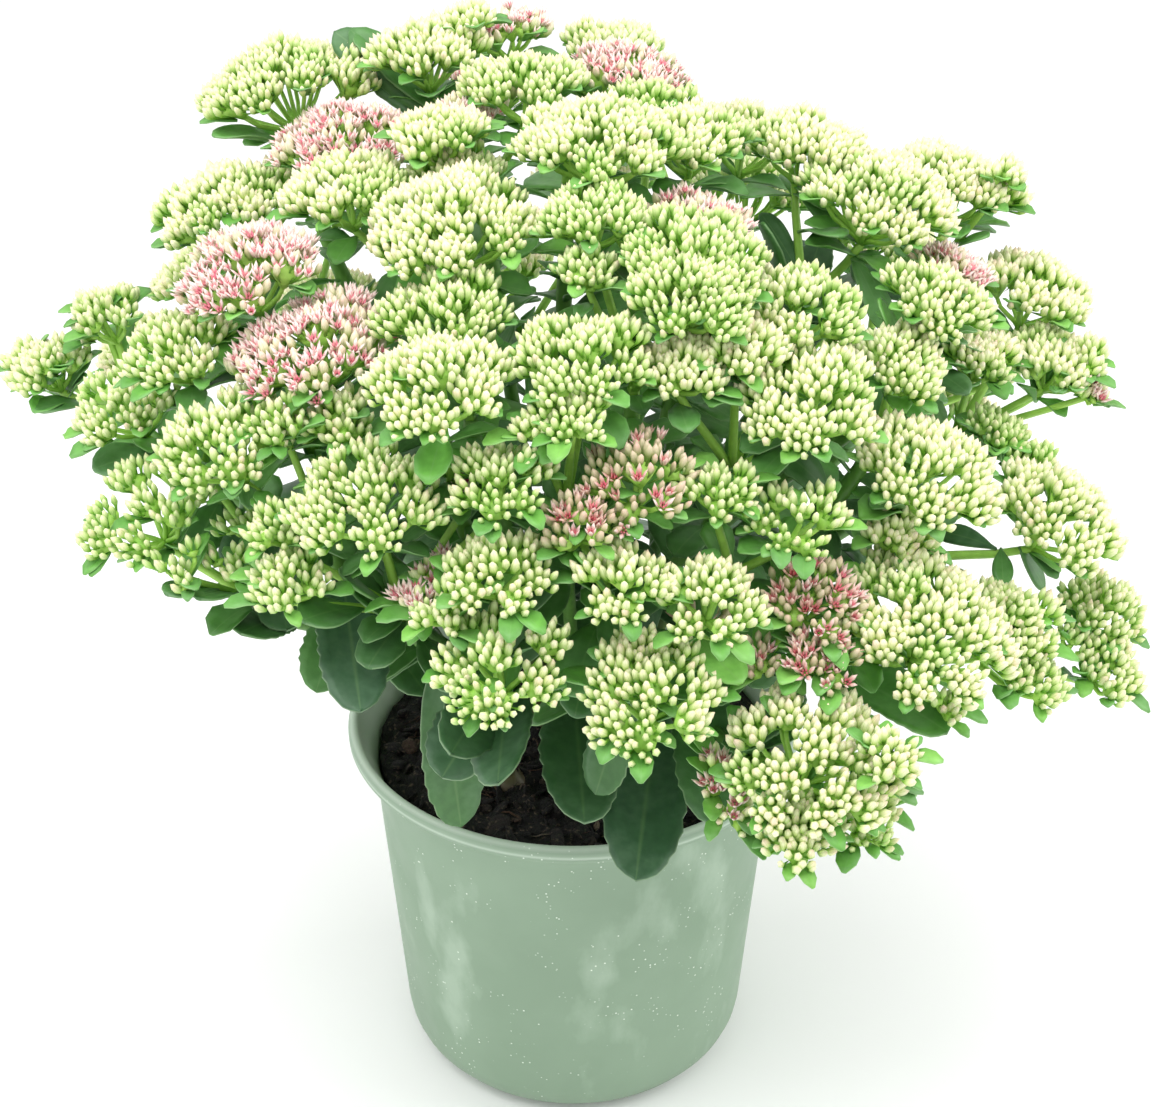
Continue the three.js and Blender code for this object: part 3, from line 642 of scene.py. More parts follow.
# name, crown, kind of flower, ripeness, then its domes as x, y, z, width
shoots = [
    ("upper_left", "mid_left", "bud", 0.7, [(-114, 78, 417, 74)]),
    ("top_left", "mid_left", "bud", 0.9, [(-58, 73, 430, 55), (-19, 38, 429, 54)]),
    ("top_pink", "mid_left", "flower", 1, [(-27, 107, 427, 41), (21, 74, 420, 54)]),
    ("top_back", "mid_right", "bud", 0.8, [(17, 121, 416, 46)]),
    ("top_middle", "mid_right", "bud", 0.85, [(8, -22, 430, 64), (44, 1, 420, 48), (29, 29, 422, 40)]),
    ("top_right", "mid_right", "bud", 1, [(87, 26, 410, 54), (112, -2, 401, 66)]),
    ("outer_right_top", "mid_right", "bud", 1, [(151, 40, 388, 58)]),
    ("outer_left_top", "mid_left", "bud", 1, [(-132, 29, 385, 66)]),
    ("upper_left_front", "mid_left", "bud", 0.9,
     [(-82, -21, 410, 54), (-48, -11, 427, 44), (-43, -12, 413, 40)]),
    ("left_pink", "mid_left", "flower", 1, [(-88, 33, 408, 62), (-42, 34, 414, 34)]),
    ("upper_front_left", "mid_front", "bud", 0.95, [(-41, -56, 412, 68), (-43, -89, 392, 52)]),
    ("upper_front_right", "mid_front", "bud", 0.45,
     [(8, -62, 416, 44), (42, -85, 410, 58), (39, -102, 404, 48), (5, -80, 403, 26)]),
    ("middle_pink", "mid_right", "flower", 1, [(46, -36, 403, 44)]),
    ("far_left", "left", "bud", 0.8, [(-206, 6, 326, 42), (-181, 8, 345, 38)]),
    ("left_front_pink", "front_left", "flower", 1,
     [(-114, -60, 395, 60), (-87, -86, 379, 58), (-112, -85, 369, 24)]),
    ("left_shoulder", "left", "bud", 0.7, [(-138, -73, 370, 45), (-162, -56, 341, 50)]),
    ("left_front", "front_left", "bud", 0.7,
     [(-117, -109, 352, 57), (-79, -108, 361, 32), (-98, -114, 363, 26)]),
    ("centre_left", "mid_front", "bud", 0.85, [(-44, -133, 386, 56)]),
    ("centre", "front", "bud", 0.6, [(4, -121, 390, 50), (0, -139, 379, 29), (-12, -139, 375, 20)]),
    ("centre_right", "mid_front", "bud", 0.85,
     [(36, -112, 382, 36), (75, -83, 391, 50), (79, -115, 374, 56), (56, -107, 388, 34)]),
    ("right_shoulder", "front_right", "bud", 0.7, [(129, -52, 380, 46), (115, -73, 367, 42)]),
    ("right_pink", "mid_right", "flower", 1, [(142, -11, 374, 34)]),
    ("far_right", "right", "bud", 1, [(182, 25, 349, 54), (187, -3, 332, 46), (154, -19, 341, 34)]),
    ("low_left", "left", "bud", 0.5, [(-150, -100, 322, 56), (-135, -124, 313, 24)]),
    ("front_left_low", "front_left", "bud", 0.65,
     [(-66, -143, 349, 59), (-24, -145, 358, 40), (-95, -148, 321, 34), (-99, -137, 335, 26)]),
    ("front_pink", "front", "flower", 0.35, [(21, -141, 357, 48), (3, -154, 347, 31)]),
    ("front_sprig", "front_right", "bud", 0.55, [(48, -137, 350, 33), (74, -141, 341, 40)]),
    ("right_front", "front_right", "bud", 0.9,
     [(121, -110, 344, 60), (176, -75, 306, 58), (112, -114, 320, 30),
      (161, -33, 316, 34), (172, -42, 309, 26)]),
    ("front_low", "front_left", "bud", 0.75,
     [(-25, -162, 333, 42), (-24, -177, 307, 54), (-43, -165, 321, 26)]),
    ("front_drop", "front_right", "bud", 0.8,
     [(16, -166, 332, 40), (25, -182, 299, 54), (45, -166, 326, 42)]),
    ("low_pink", "front_right", "flower", 0.4, [(79, -148, 315, 42), (83, -161, 300, 32)]),
    ("low_right", "front_right", "bud", 0.95, [(121, -146, 303, 64)]),
    ("far_right_low", "right", "bud", 0.7,
     [(158, -111, 282, 40), (201, -65, 258, 44), (163, -121, 265, 34), (200, -85, 245, 34)]),
    ("drooping_right", "front_right", "bud", 1,
     [(80, -185, 276, 64), (95, -178, 252, 34), (75, -195, 255, 34), (99, -187, 249, 24)]),
    ("back_left", "back_left", "bud", 0.85,
     [(-150, 94, 329, 62), (-107, 133, 355, 60), (-177, 50, 314, 44)]),
    ("back_pink", "back_left", "flower", 1, [(-45, 130, 388, 60)]),
    ("back_right", "back_right", "bud", 0.9,
     [(70, 92, 388, 56), (78, 142, 348, 62), (36, 144, 376, 40)]),
    ("right_back", "back_right", "bud", 0.8,
     [(135, 100, 338, 62), (166, 84, 268, 54), (178, 56, 306, 44)]),
    ("back", "back", "bud", 0.9, [(10, 165, 343, 62), (-38, 187, 288, 60), (-54, 156, 334, 46)]),
    ("back_left_low", "back_left", "bud", 0.8, [(-116, 160, 286, 62)]),
    ("back_low", "back", "bud", 0.85, [(42, 195, 278, 60), (108, 165, 268, 60)]),
]
# leaves that the solids have too, of each shoot: the dome whose branch they stand on (None is the stem),
# place along it, tip, width and brightness
mainLeaves = {
    "left_front": [(None, 0.93, (-72, -147, 270), 25, 0.05), (None, 0.86, (-89, -124, 262), 20, 0.45)],
    "front_left_low": [(None, 0.78, (-43, -110, 197), 25, 0.3)],
    "front_low": [(None, 0.78, (-45, -143, 237), 27, 0.1)],
    "centre": [(None, 0.33, (4, -141, 213), 30, 0.15)],
    "front_drop": [(None, 0.86, (10, -131, 225), 20, 0.3), (0, 0.7, (-1, -160, 341), 15, 0.9),
        (2, 0.7, (54, -177, 299), 16, 0.95), (1, 0.7, (-6, -163, 294), 17, 0.85)],
    "low_pink": [(None, 0.65, (51, -141, 216), 27, 0.3)],
    "drooping_right": [(None, 0.42, (23, -141, 189), 32, 0.05),
        (None, 0.62, (73, -137, 199), 24, 0.8)],
    "low_right": [(None, 0.9, (128, -152, 262), 24, 0.55)],
    "centre_left": [(None, 0.96, (-4, -146, 345), 14, 0.7)],
    "top_right": [(None, 0.96, (68, -1, 392), 14, 0.4), (0, 0.6, (97, -29, 392), 13, 0.6)],
    "right_pink": [(None, 0.96, (143, -46, 338), 12, 0.35)],
    "right_front": [(None, 0.96, (148, -92, 264), 14, 0.3)],
    "top_left": [(0, 0.7, (-88, 87, 433), 23, 0.45)],
    "upper_left": [(0, 0.8, (-141, 50, 401), 18, 0.6)],
    "outer_left_top": [(0, 0.7, (-120, 9, 378), 13, 0.75)],
    "right_shoulder": [(0, 0.6, (107, -49, 380), 15, 0.8)],
    "outer_right_top": [(0, 0.5, (160, 19, 373), 11, 0.7)],
    "far_left": [(0, 0.6, (-207, -12, 313), 12, 0.4)],
    "low_left": [(1, 0.5, (-139, -132, 305), 13, 0.35)],
}
# leaves that are only in this model, with their roll as well
extraLeaves = {
    "top_right": [(0, 0.25, (70, 26, 381), 10, 0.25, 35), (0, 0.9, (103, 6, 377), 8, 0.5, -30),
        (1, 0.75, (114, -10, 374), 8, 0.65, -20), (1, 0.8, (116, -16, 351), 12, 0.65, 0),
        (None, 0.99, (115, 27, 342), 17, 0.15, -20), (None, 0.96, (75, 38, 356), 19, 0.1, 30),
        (None, 0.9, (105, 37, 344), 24, 0.12, 0), (None, 0.92, (97, 38, 368), 22, 0.12, 20),
        (None, 0.93, (93, 58, 357), 22, 0.12, -30), (None, 0.95, (111, 46, 346), 20, 0.2, 20)],
    "outer_right_top": [(None, 0.97, (107, 41, 352), 19, 0.2, 30)],
    "left_shoulder": [(None, 0.96, (-137, -78, 290), 16, 0.35, 20),
        (None, 0.9, (-119, -75, 279), 19, 0.2, 0), (None, 0.8, (-102, -106, 273), 25, 0.25, 0),
        (None, 0.5, (-68, -37, 283), 22, 0.2, 0), (1, 0.6, (-172, -74, 321), 15, 0.4, 10)],
    "front_left_low": [(None, 0.98, (-78, -130, 309), 18, 0.45, 30),
        (None, 0.99, (-69, -147, 285), 17, 0.3, 0), (None, 0.9, (-40, -146, 275), 14, 0.35, 0),
        (None, 1.0, (-76, -149, 322), 22, 0.45, 10), (2, 0.35, (-90, -154, 308), 17, 0.4, 10)],
    "left_front": [(None, 0.98, (-94, -117, 306), 14, 0.5, 25)],
    "front_low": [(None, 0.7, (-42, -169, 264), 23, 0.12, 35),
        (None, 0.72, (-25, -179, 259), 24, 0.1, -20)],
    "top_left": [(0, 0.45, (-91, 87, 435), 17, 0.4, 50), (0, 0.5, (-98, 89, 433), 20, 0.3, 40)],
    "right_front": [(1, 0.75, (138, -48, 280), 9, 0.15, 30), (1, 0.78, (156, -85, 280), 8, 0.5, 0),
        (1, 0.9, (172, -77, 274), 9, 0.4, 0)],
    "upper_front_left": [(None, 0.98, (-19, -46, 370), 13, 0.3, 30)],
    "upper_front_right": [(None, 0.96, (6, -46, 368), 14, 0.25, -20)],
    "left_front_pink": [(None, 0.95, (-97, -65, 344), 14, 0.3, 30)],
    "middle_pink": [(None, 0.95, (58, -29, 382), 14, 0.2, -30)],
    "centre_right": [(None, 0.9, (65, -95, 333), 17, 0.3, -30)],
    "front_sprig": [(None, 0.85, (44, -118, 310), 15, 0.3, -20)],
    "low_left": [(1, 0.2, (-128, -133, 304), 15, 0.4, 0),
        (None, 0.9, (-118, -112, 277), 24, 0.35, 10)],
    "front_drop": [(None, 0.7, (22, -80, 304), 22, 0.2, 0)],
    "drooping_right": [(None, 0.96, (83, -137, 268), 20, 0.3, -20)],
    "far_right_low": [(None, 0.97, (146, -68, 280), 20, 0.3, 10)],
    "back": [(None, 0.5, (6, 116, 196), 28, 0.15, 0), (None, 0.62, (30, 130, 235), 22, 0.3, 0)],
    "back_low": [(None, 0.45, (48, 108, 190), 26, 0.2, 10)],
    "back_right": [(None, 0.4, (84, 84, 205), 25, 0.15, -10)],
    "back_left_low": [(None, 0.45, (-48, 112, 200), 27, 0.2, 0)],
    "back_left": [(None, 0.4, (-86, 78, 208), 25, 0.1, 10)],
    "right_back": [(None, 0.45, (100, 58, 215), 24, 0.2, 0)],
    "back_pink": [(None, 0.35, (-22, 96, 215), 24, 0.15, 0)],
}
# small clusters at the sides of each head: buds or flowers, x, y, z, width, ripeness
sideClusters = {
    "far_right_low": [("bud", 153, -101, 285, 26, 0.7), ("bud", 187, -80, 254, 20, 0.6)],
    "low_pink": [("flower", 64, -159, 298, 24, 0.4), ("flower", 42, -148, 305, 22, 0.4)],
    "front_drop": [("bud", 22, -168, 310, 24, 0.7)],
    "left_shoulder": [("bud", -120, -77, 303, 22, 0.3)],
    "drooping_right": [("bud", 103, -194, 284, 26, 0.8), ("flower", 50, -169, 258, 24, 0.8),
        ("flower", 55, -179, 251, 20, 0.8)],
    "far_right": [("bud", 196, -6, 335, 24, 0.8), ("flower", 197, -16, 327, 20, 0.8)],
    "far_left": [("bud", -215, 19, 323, 22, 0.7), ("bud", -185, 11, 349, 22, 0.8)],
    "top_left": [("bud", -41, 80, 439, 26, 0.9)],
    "right_front": [("bud", 129, -147, 271, 18, 0.9), ("bud", 109, -115, 308, 22, 0.6)],
    "left_front": [("bud", -119, -116, 309, 20, 0.5)],
    "outer_right_top": [("bud", 166, 30, 396, 24, 0.9)],
    "front_low": [("flower", -49, -152, 317, 24, 0.8), ("flower", -46, -139, 321, 20, 0.8)],
    "front_left_low": [("flower", -34, -121, 343, 18, 0.8)],
}
# smaller leaves in pairs along all stems: places, room to heads, leaves and stems, seed, length, lowest
mainPairs = ([0.76, 0.5], (8, 14, 8.5), 7, 56, 0)
smallPairs = [
    ([0.9, 0.64, 0.38], (6, 8.5, 5), 19, 44, 212),
    ([0.83, 0.7, 0.57, 0.44, 0.3], (4.5, 7, 4.5), 23, 36, 212),
    ([0.96, 0.87, 0.79], (3.5, 6, 3.5), 31, 30, 212),
]


def unit(vector):
    return vector / np.linalg.norm(vector)


def seeded(state):
    while True:
        state = state * 16807 % 2147483647
        yield state / 2147483647


def domeAxis(centre):
    return unit(habit["out"] * unit(centre - spread) + habit["up"] * up)


def across(axis):
    first = unit(np.cross(np.array([1, 0, 0.3]), axis))
    return first, np.cross(axis, first)


def shootHub(domes):
    # where the branches meet, and the way the stem arrives there; low heads hang on stems that arch
    middle = np.mean([dome[:3] for dome in domes], axis=0)
    droop = min(max((habit["archBelow"] - middle[2]) / habit["archOver"], 0), 1)
    direction = domeAxis(middle)
    direction = unit(direction + (unit(middle * (1, 1, 0)) - direction) * habit["arch"] * droop)
    share = habit["hubMany" if len(domes) > 1 else "hubOne"]
    return middle - direction * (habit["hub"] + max(dome[3] for dome in domes) * share), direction, droop


def domeNeck(dome):
    centre = np.array(dome[:3], float)
    return centre - domeAxis(centre) * habit["neck"] * dome[3]


def branchFoot(domes):
    hub, direction, _ = shootHub(domes)
    return hub if len(domes) > 1 else hub - direction * habit["branch"]


def stemBend(crown, domes):
    # the four points of the stem's curve
    hub, direction, droop = shootHub(domes)
    top = hub - direction * habit["join"]
    foot = np.array([*crown, peatTop + 1.0]) + unit(top * (1, 1, 0)) * 1.5
    climb = (top[2] - foot[2]) * (habit["climb"] + habit["climbLow"] * droop)
    return np.array([foot, foot + up * climb, top - direction * climb * habit["ease"], top])


def bendAt(bend, t):
    t = np.asarray(t, float)[:, None]
    return ((1 - t) ** 3 * bend[0] + 3 * (1 - t) ** 2 * t * bend[1]
            + 3 * (1 - t) * t * t * bend[2] + t ** 3 * bend[3])


def evenly(bend, count):
    # points at even distances along a curve
    fine = bendAt(bend, np.linspace(0, 1, 201))
    run = np.concatenate([[0], np.cumsum(np.linalg.norm(np.diff(fine, axis=0), axis=1))])
    return bendAt(bend, np.interp(np.linspace(0, run[-1], count + 1), run, np.linspace(0, 1, 201)))


def onStem(bend, place):
    corners = evenly(bend, 5)
    step = min(int(place * 5), 4)
    along = corners[step + 1] - corners[step]
    return corners[step] + along * (place * 5 - step), unit(along)


def leafTo(name, number, place, tip, width, tint, roll=0):
    # a leaf that reaches its tip from a place on the stem, or on the branch of a dome
    if number is None:
        foot = onStem(stemBends[name], place)[0]
    else:
        foot = branchFoot(domesOf[name])
        foot = foot + (domeNeck(domesOf[name][number]) - foot) * place
    reach = np.array(tip, float) - foot
    length, sag = np.linalg.norm(reach), 0.12
    return {"shoot": name, "foot": foot, "length": length, "width": width, "sag": sag, "tint": tint,
            "direction": unit(reach + up * sag * length), "place": place, "roll": roll,
            "kind": "toothed" if width >= 20 else "plain"}


def leafPoints(leaf):
    side = unit(np.cross(leaf["direction"], up))
    spots = []
    for share, half in ((0.2, 0.2), (0.4, 0.4), (0.6, 0.48), (0.8, 0.46), (1, 0.14)):
        middle = (leaf["foot"] + leaf["direction"] * leaf["length"] * share
                  - up * leaf["sag"] * leaf["length"] * share * share)
        for hand in (-1, -0.5, 0, 0.5, 1):
            spots.append(middle + side * hand * half * leaf["width"])
    return np.array(spots)


def headPoints(domes):
    hub, _, _ = shootHub(domes)
    spots = []
    for x, y, z, width in domes:
        centre = np.array([x, y, z], float)
        axis = domeAxis(centre)
        first, second = across(axis)
        for reach, lift, count in ((1, -0.2, 14), (0.6, 0.05, 8), (0.55, -0.4, 6), (0, 0.2, 1)):
            for i in range(count):
                turn = 2 * pi * i / count
                spots.append(centre + axis * lift * width / 2 + first * reach * width / 2 * cos(turn)
                             + second * reach * width / 2 * sin(turn))
        for share in (0, 0.3, 0.6):
            spots.append(hub + (centre - hub) * share)
    return np.array(spots)


def lowestLeaf(reach):
    # over the peat, over the rim, and higher the further out
    return np.where(reach < 72, peatTop + 8,
                    np.where(reach < rimRadius + 8, potHeight + 8, 215 + (reach - rimRadius) * 0.9))


def tooNear(spots, others, gap):
    return len(others) and np.min(np.linalg.norm(spots[:, None] - others[None], axis=2)) < gap


domesOf = {name: domes for name, *_, domes in shoots}
stemBends = {name: stemBend(crowns[crown], domes) for name, crown, _, _, domes in shoots}
stemSpots = {name: bendAt(bend, np.linspace(0, 1, 31)) for name, bend in stemBends.items()}
headSpots = np.concatenate([headPoints(domes) for domes in domesOf.values()])
leafSpots = np.zeros((0, 3))
leaves, leavesOnHeads = [], []


def takeLeaf(leaf, taken):
    global leafSpots
    leafSpots = np.concatenate([leafSpots, leafPoints(leaf)])
    taken.append(leaf)


def takeLeaves(table):
    for name, rows in table.items():
        for row in rows:
            takeLeaf(leafTo(name, *row), leaves if row[0] is None else leavesOnHeads)


def hasRoom(leaf, gaps, lowest):
    spots = leafPoints(leaf)
    if np.any(spots[:, 2] < np.maximum(lowestLeaf(np.hypot(spots[:, 0], spots[:, 1])), lowest)):
        return False
    if tooNear(spots, headSpots, gaps[0]) or tooNear(spots, leafSpots, gaps[1]):
        return False
    # a leaf may be near its own stem at its foot
    return not any(tooNear(spots[8:] if name == leaf["shoot"] else spots, points, gaps[2])
                   for name, points in stemSpots.items())


def growLeaves(places, gaps, seed, size, lowest):
    # pairs across each stem; a leaf without room is tried at other turns, then left out
    draws = seeded(seed)
    for order, place in enumerate(places):
        high = place > 0.7
        for name in domesOf:
            foot, along = onStem(stemBends[name], place)
            out = unit(foot * (1, 1, 0))
            first = unit(out - along * out.dot(along))
            second = np.cross(along, first)
            start = (next(draws) - 0.5) * 60 + order * 90
            length = size * (0.85 + 0.3 * next(draws)) * (0.85 if high else 1)
            for half in (0, 180):
                for nudge in (0, 28, -28, 56, -56):
                    turn = radians(start + half + nudge)
                    rise = along * (0.45 if high else 0.2)
                    direction = unit(first * cos(turn) + second * sin(turn) + rise)
                    leaf = {"shoot": name, "foot": foot, "direction": direction, "length": length,
                            "width": length * 0.56, "sag": 0.25, "kind": "plain", "place": place}
                    if abs(direction[2]) < 0.93 and hasRoom(leaf, gaps, lowest):
                        takeLeaf(leaf, leaves)
                        break


takeLeaves(mainLeaves)
growLeaves(*mainPairs)
solidLeaves = len(leaves)
takeLeaves(extraLeaves)
for pairs in smallPairs:
    growLeaves(*pairs)
print("leaves:", solidLeaves, "as in the solids, and", len(leaves) - solidLeaves, "smaller ones")

# stems and leaves, one piece for each crown

stemLook = {"sides": 9, "rings": 26, "footRadius": 3.1, "topRadius": 2.2, "widest": 3.7,
            "knot": 0.5, "knotLength": 0.025}
crownLook = {"radius": 8.2, "height": 9.5, "lumps": 0.16, "depth": 3.0}
leafThick, bractThick = 1.3, 0.9
stemTube = tubeShape(stemLook["sides"], stemLook["rings"], firstSlot)


def crownShape():
    bm = bmesh.new()
    bmesh.ops.create_icosphere(bm, subdivisions=3, radius=1.0)
    return pattern(bm)


crownBall = crownShape()


def nearestOn(points, target):
    return points[np.argmin(np.linalg.norm(points - target, axis=1))]


def dressStems(crown, rng):
    batch = startBatch()
    x, y = crowns[crown]
    ball = crownBall["points"]
    lumps = [noise.noise(Vector(p) * 2.2 + Vector((x, y, 0))) for p in ball]
    knob = ball * (1 + crownLook["lumps"] * np.array(lumps))[:, None]
    knob = knob * (crownLook["radius"], crownLook["radius"], crownLook["height"])
    addOne(batch, crownBall, knob + (x, y, peatTop - crownLook["depth"]), 0.5)
    for name, home, *_ in shoots:
        if home != crown:
            continue
        path = evenly(stemBends[name], stemLook["rings"] - 1)
        along = np.linspace(0, 1, stemLook["rings"])
        radii = stemLook["footRadius"] + (stemLook["topRadius"] - stemLook["footRadius"]) * along
        own = [leaf for leaf in leaves if leaf["shoot"] == name]
        for leaf in own:  # a knot where a leaf stands
            knot = np.exp(-((along - leaf["place"]) / stemLook["knotLength"]) ** 2)
            radii = radii + stemLook["knot"] * knot
        addOne(batch, stemTube, tubeAlong(stemTube, path, np.minimum(radii, stemLook["widest"])), 0.5)
        fine = bendAt(stemBends[name], np.linspace(0, 1, 200))
        for leaf in own:
            shapes = leafShapes[leaf["kind"]]
            shape = shapes[rng.integers(len(shapes))]
            loose = {} if "tint" in leaf else {"roll": rng.normal(0, 14)}
            foot = leaf["foot"] * 0.3 + nearestOn(fine, leaf["foot"]) * 0.7
            placed = leafPlace(shape, {**leaf, **loose, "foot": foot}, rng, leafThick)
            high = np.clip((leaf["foot"][2] - 200) / 180, 0, 1)
            # upper leaves are brighter
            tint = leaf.get("tint", np.clip(0.2 + 0.6 * high + rng.normal(0, 0.14), 0.05, 1))
            addOne(batch, shape, placed, tint)
    piece = finishBatch(batch, "leafy_stems_" + crown, ["stem", "leaf"])
    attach(piece, "root")
    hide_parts("stems_" + crown)


for order, crown in enumerate(crowns):
    dressStems(crown, np.random.default_rng(100 + order))
print("stems and leaves made for", len(crowns), "crowns")

# heads: cymes of buds or flowers that fill each dome

headLook = {
    "budWidth": 3.3, "budLength": 6.0, "budSpace": 3.25, "lowBuds": 0.06,
    "flowerWidth": 7.8, "flowerSpace": 4.3, "openShare": 0.62,
    "rayRadius": 1.05, "branchRadius": 1.8, "bractLength": 13, "collarLength": 21, "whorl": 4,
}
# rings of small clusters in a dome up to a radius: how far out, how many, and their share of the radius
clusterRings = [
    (13, [(0.0, 1, 0.55), (0.62, 3, 0.46)]),
    (19, [(0.0, 1, 0.50), (0.6, 5, 0.42)]),
    (25, [(0.0, 1, 0.42), (0.64, 6, 0.38)]),
    (31, [(0.0, 1, 0.38), (0.66, 7, 0.35)]),
    (99, [(0.0, 1, 0.33), (0.48, 5, 0.28), (0.78, 9, 0.27)]),
]
# domes that ripen later than the rest of their head: head, dome, ripeness
lateDomes = {
    ("right_front", 3): 0.3, ("right_front", 4): 0.2, ("drooping_right", 1): 0.6,
    ("drooping_right", 2): 0.75, ("drooping_right", 3): 0.3, ("far_left", 1): 0.7,
    ("front_sprig", 1): 0.6, ("far_right_low", 2): 0.5, ("upper_left_front", 2): 0.5,
    ("front_left_low", 3): 0.55, ("left_front", 2): 0.6, ("top_middle", 2): 0.4,
    ("upper_front_left", 1): 0.55, ("top_left", 1): 0.6, ("back_right", 1): 0.6,
}
# heads whose small clusters stand apart on longer stalks
looseHeads = {
    "left_shoulder": 0.5, "low_left": 1.0, "left_front": 0.7, "front_left_low": 0.4, "front_sprig": 0.9,
    "far_right_low": 0.5, "front_low": 0.6, "front_drop": 0.5, "drooping_right": 0.3, "front_pink": 0.6,
    "far_left": 0.5, "centre_left": 0.3, "low_pink": 0.6, "right_front": 0.2,
}
openFlowers = [flowerShape(opening) for opening in (16, 27, 40)]
rayRings = 5
rayTube = tubeShape(5, rayRings, sprigSlot)


def turned(axis, turn):
    first, second = across(axis)
    return first * cos(turn) + second * sin(turn)


def cymes(dome, rng):
    # centre, facing and radius of the small clusters that a dome is made of
    centre, radius = np.array(dome[:3], float), dome[3] / 2
    axis = domeAxis(centre)
    made = []
    for reach, count, share in next(rings for limit, rings in clusterRings if radius < limit):
        start = rng.uniform(0, 2 * pi)
        for i in range(count):
            away = turned(axis, start + 2 * pi * (i + rng.uniform(-0.2, 0.2)) / count)
            r = reach * rng.uniform(0.88, 1.1)
            at = centre + away * r * radius + axis * radius * (0.22 - 0.42 * r * r)
            facing = unit(axis + away * 0.8 * r + rng.normal(0, 0.09, 3))
            size = share * radius * rng.uniform(0.84, 1.14)
            made.append((at + facing * rng.uniform(-2.8, 2.2), facing, size, away, r))
    return made


def scattered(at, facing, radius, space, rng):
    # places on a small cap, and the ways that they face
    count = max(4, int(round(pi * radius * radius / (space * space * 0.88))))
    order = np.arange(count)
    r = radius * np.sqrt((order + 0.5) / count) + rng.normal(0, 0.22, count)
    turn = order * 2.39996 + rng.uniform(0, 2 * pi) + rng.normal(0, 0.12, count)
    first, second = across(facing)
    out = first[None] * np.cos(turn)[:, None] + second[None] * np.sin(turn)[:, None]
    share = r / radius
    height = radius * 0.34 * (1 - share ** 2) + rng.normal(0, 0.75, count)
    spots = at + out * r[:, None] + facing[None] * height[:, None]
    ways = facing[None] + out * (0.5 * share)[:, None] + up[None] * 0.5 + rng.normal(0, 0.09, (count, 3))
    return spots, ways / np.linalg.norm(ways, axis=1, keepdims=True), share


def addBract(batch, foot, direction, length, rng, tint, width=0.52, sag=0.15, kind="bract"):
    shape = leafShapes[kind][0]
    leaf = {"foot": foot, "direction": direction, "length": length, "width": length * width, "sag": sag,
            "cup": rng.uniform(0.3, 0.6)}
    addOne(batch, shape, leafPlace(shape, leaf, rng, bractThick), tint)


def addTube(batch, bend, thick, thin, tint=0.8):
    radii = np.linspace(thick, thin, rayRings)
    addOne(batch, rayTube, tubeAlong(rayTube, evenly(bend, rayRings - 1), radii), tint)


def addCore(batch, root, facing, length, radius, tint):
    # what the buds of a cluster stand on
    place = standing(clusterCore, root[None], facing[None], np.array([length]), np.array([radius]),
                     root[None], np.array([[0.3, 0.8, 0.5]]))
    addCopies(batch, clusterCore, place * mm, [tint])


def dressCluster(batch, cyme, neck, axis, radius, grown, kind, ripe, loose, rng):
    at, facing, size, away, reach = cyme
    size = size * (1 - 0.16 * loose)
    facing = unit(facing + rng.normal(0, 0.16, 3) * loose)
    at = at + facing * rng.uniform(-2.5, 2.0) * loose
    root = at - facing * (size * 0.9 + 2.5)
    bend = np.array([neck, neck + axis * radius * 0.12 + away * reach * 3, root - facing * radius * 0.2,
                     root])
    addTube(batch, bend, headLook["rayRadius"] * 1.1, headLook["rayRadius"] * 0.8)
    depth = size * 0.9 + 2.5 + size * 0.25 - headLook["budLength"] * grown * 0.72
    addCore(batch, root, facing, max(depth, 2.5), size * 0.6, rng.uniform(0.65, 1.0))
    # here and there a cluster is later than the rest, with small greener buds
    late = 0.5 if reach > 0.4 and rng.random() < 0.14 else 1.0
    if kind == "bud":
        space = headLook["budSpace"] * grown * (1 + 0.14 * loose)
        spots, ways, share = scattered(at, facing, size, space, rng)
        addBuds(batch, spots, ways, share, root, ripe * late, grown, rng)
    else:
        spots, ways, share = scattered(at, facing, size, headLook["flowerSpace"], rng)
        opened = rng.random(len(spots)) < headLook["openShare"] * (0.55 + 0.45 * (ripe > 0.5))
        addFlowers(batch, spots[opened], ways[opened], root, ripe, rng)
        addBuds(batch, spots[~opened], ways[~opened], share[~opened], root, ripe, 1.1, rng)
    for _ in range(1 if reach < 0.4 or rng.random() < 0.6 else 2):
        lean = rng.uniform(-0.9, 0.9)
        way = unit(away * 0.9 + np.cross(facing, away) * lean + facing * rng.uniform(0.3, 0.9))
        length = headLook["bractLength"] * rng.uniform(0.7, 1.25)
        addBract(batch, root + away * size * 0.3, way, length, rng, rng.uniform(0.7, 1.0))


def addCollar(batch, neck, axis, radius, high, count, rng):
    # leaves under the dome; on low heads the upper ones stand up, and the ones that hang are shorter
    start = rng.uniform(0, 2 * pi)
    for i in range(count):
        away = turned(axis, start + 2.1 * i + rng.uniform(-0.35, 0.35))
        hangs = high < 360 and away[2] < -0.15
        if hangs and radius < 21:
            continue
        lift = 0 if hangs else np.clip((370 - high) / 120, 0, 0.6)
        way = unit(away + axis * rng.uniform(0.15, 0.5) + up * lift)
        foot = neck - axis * rng.uniform(0, 6)
        length = (headLook["collarLength"] * rng.uniform(0.8, 1.2) * (0.6 + 0.016 * radius)
                  * (0.72 if hangs else 1))
        addBract(batch, foot, way, length, rng, rng.uniform(0.45, 0.95), width=0.5, sag=0.2,
                 kind="collar")


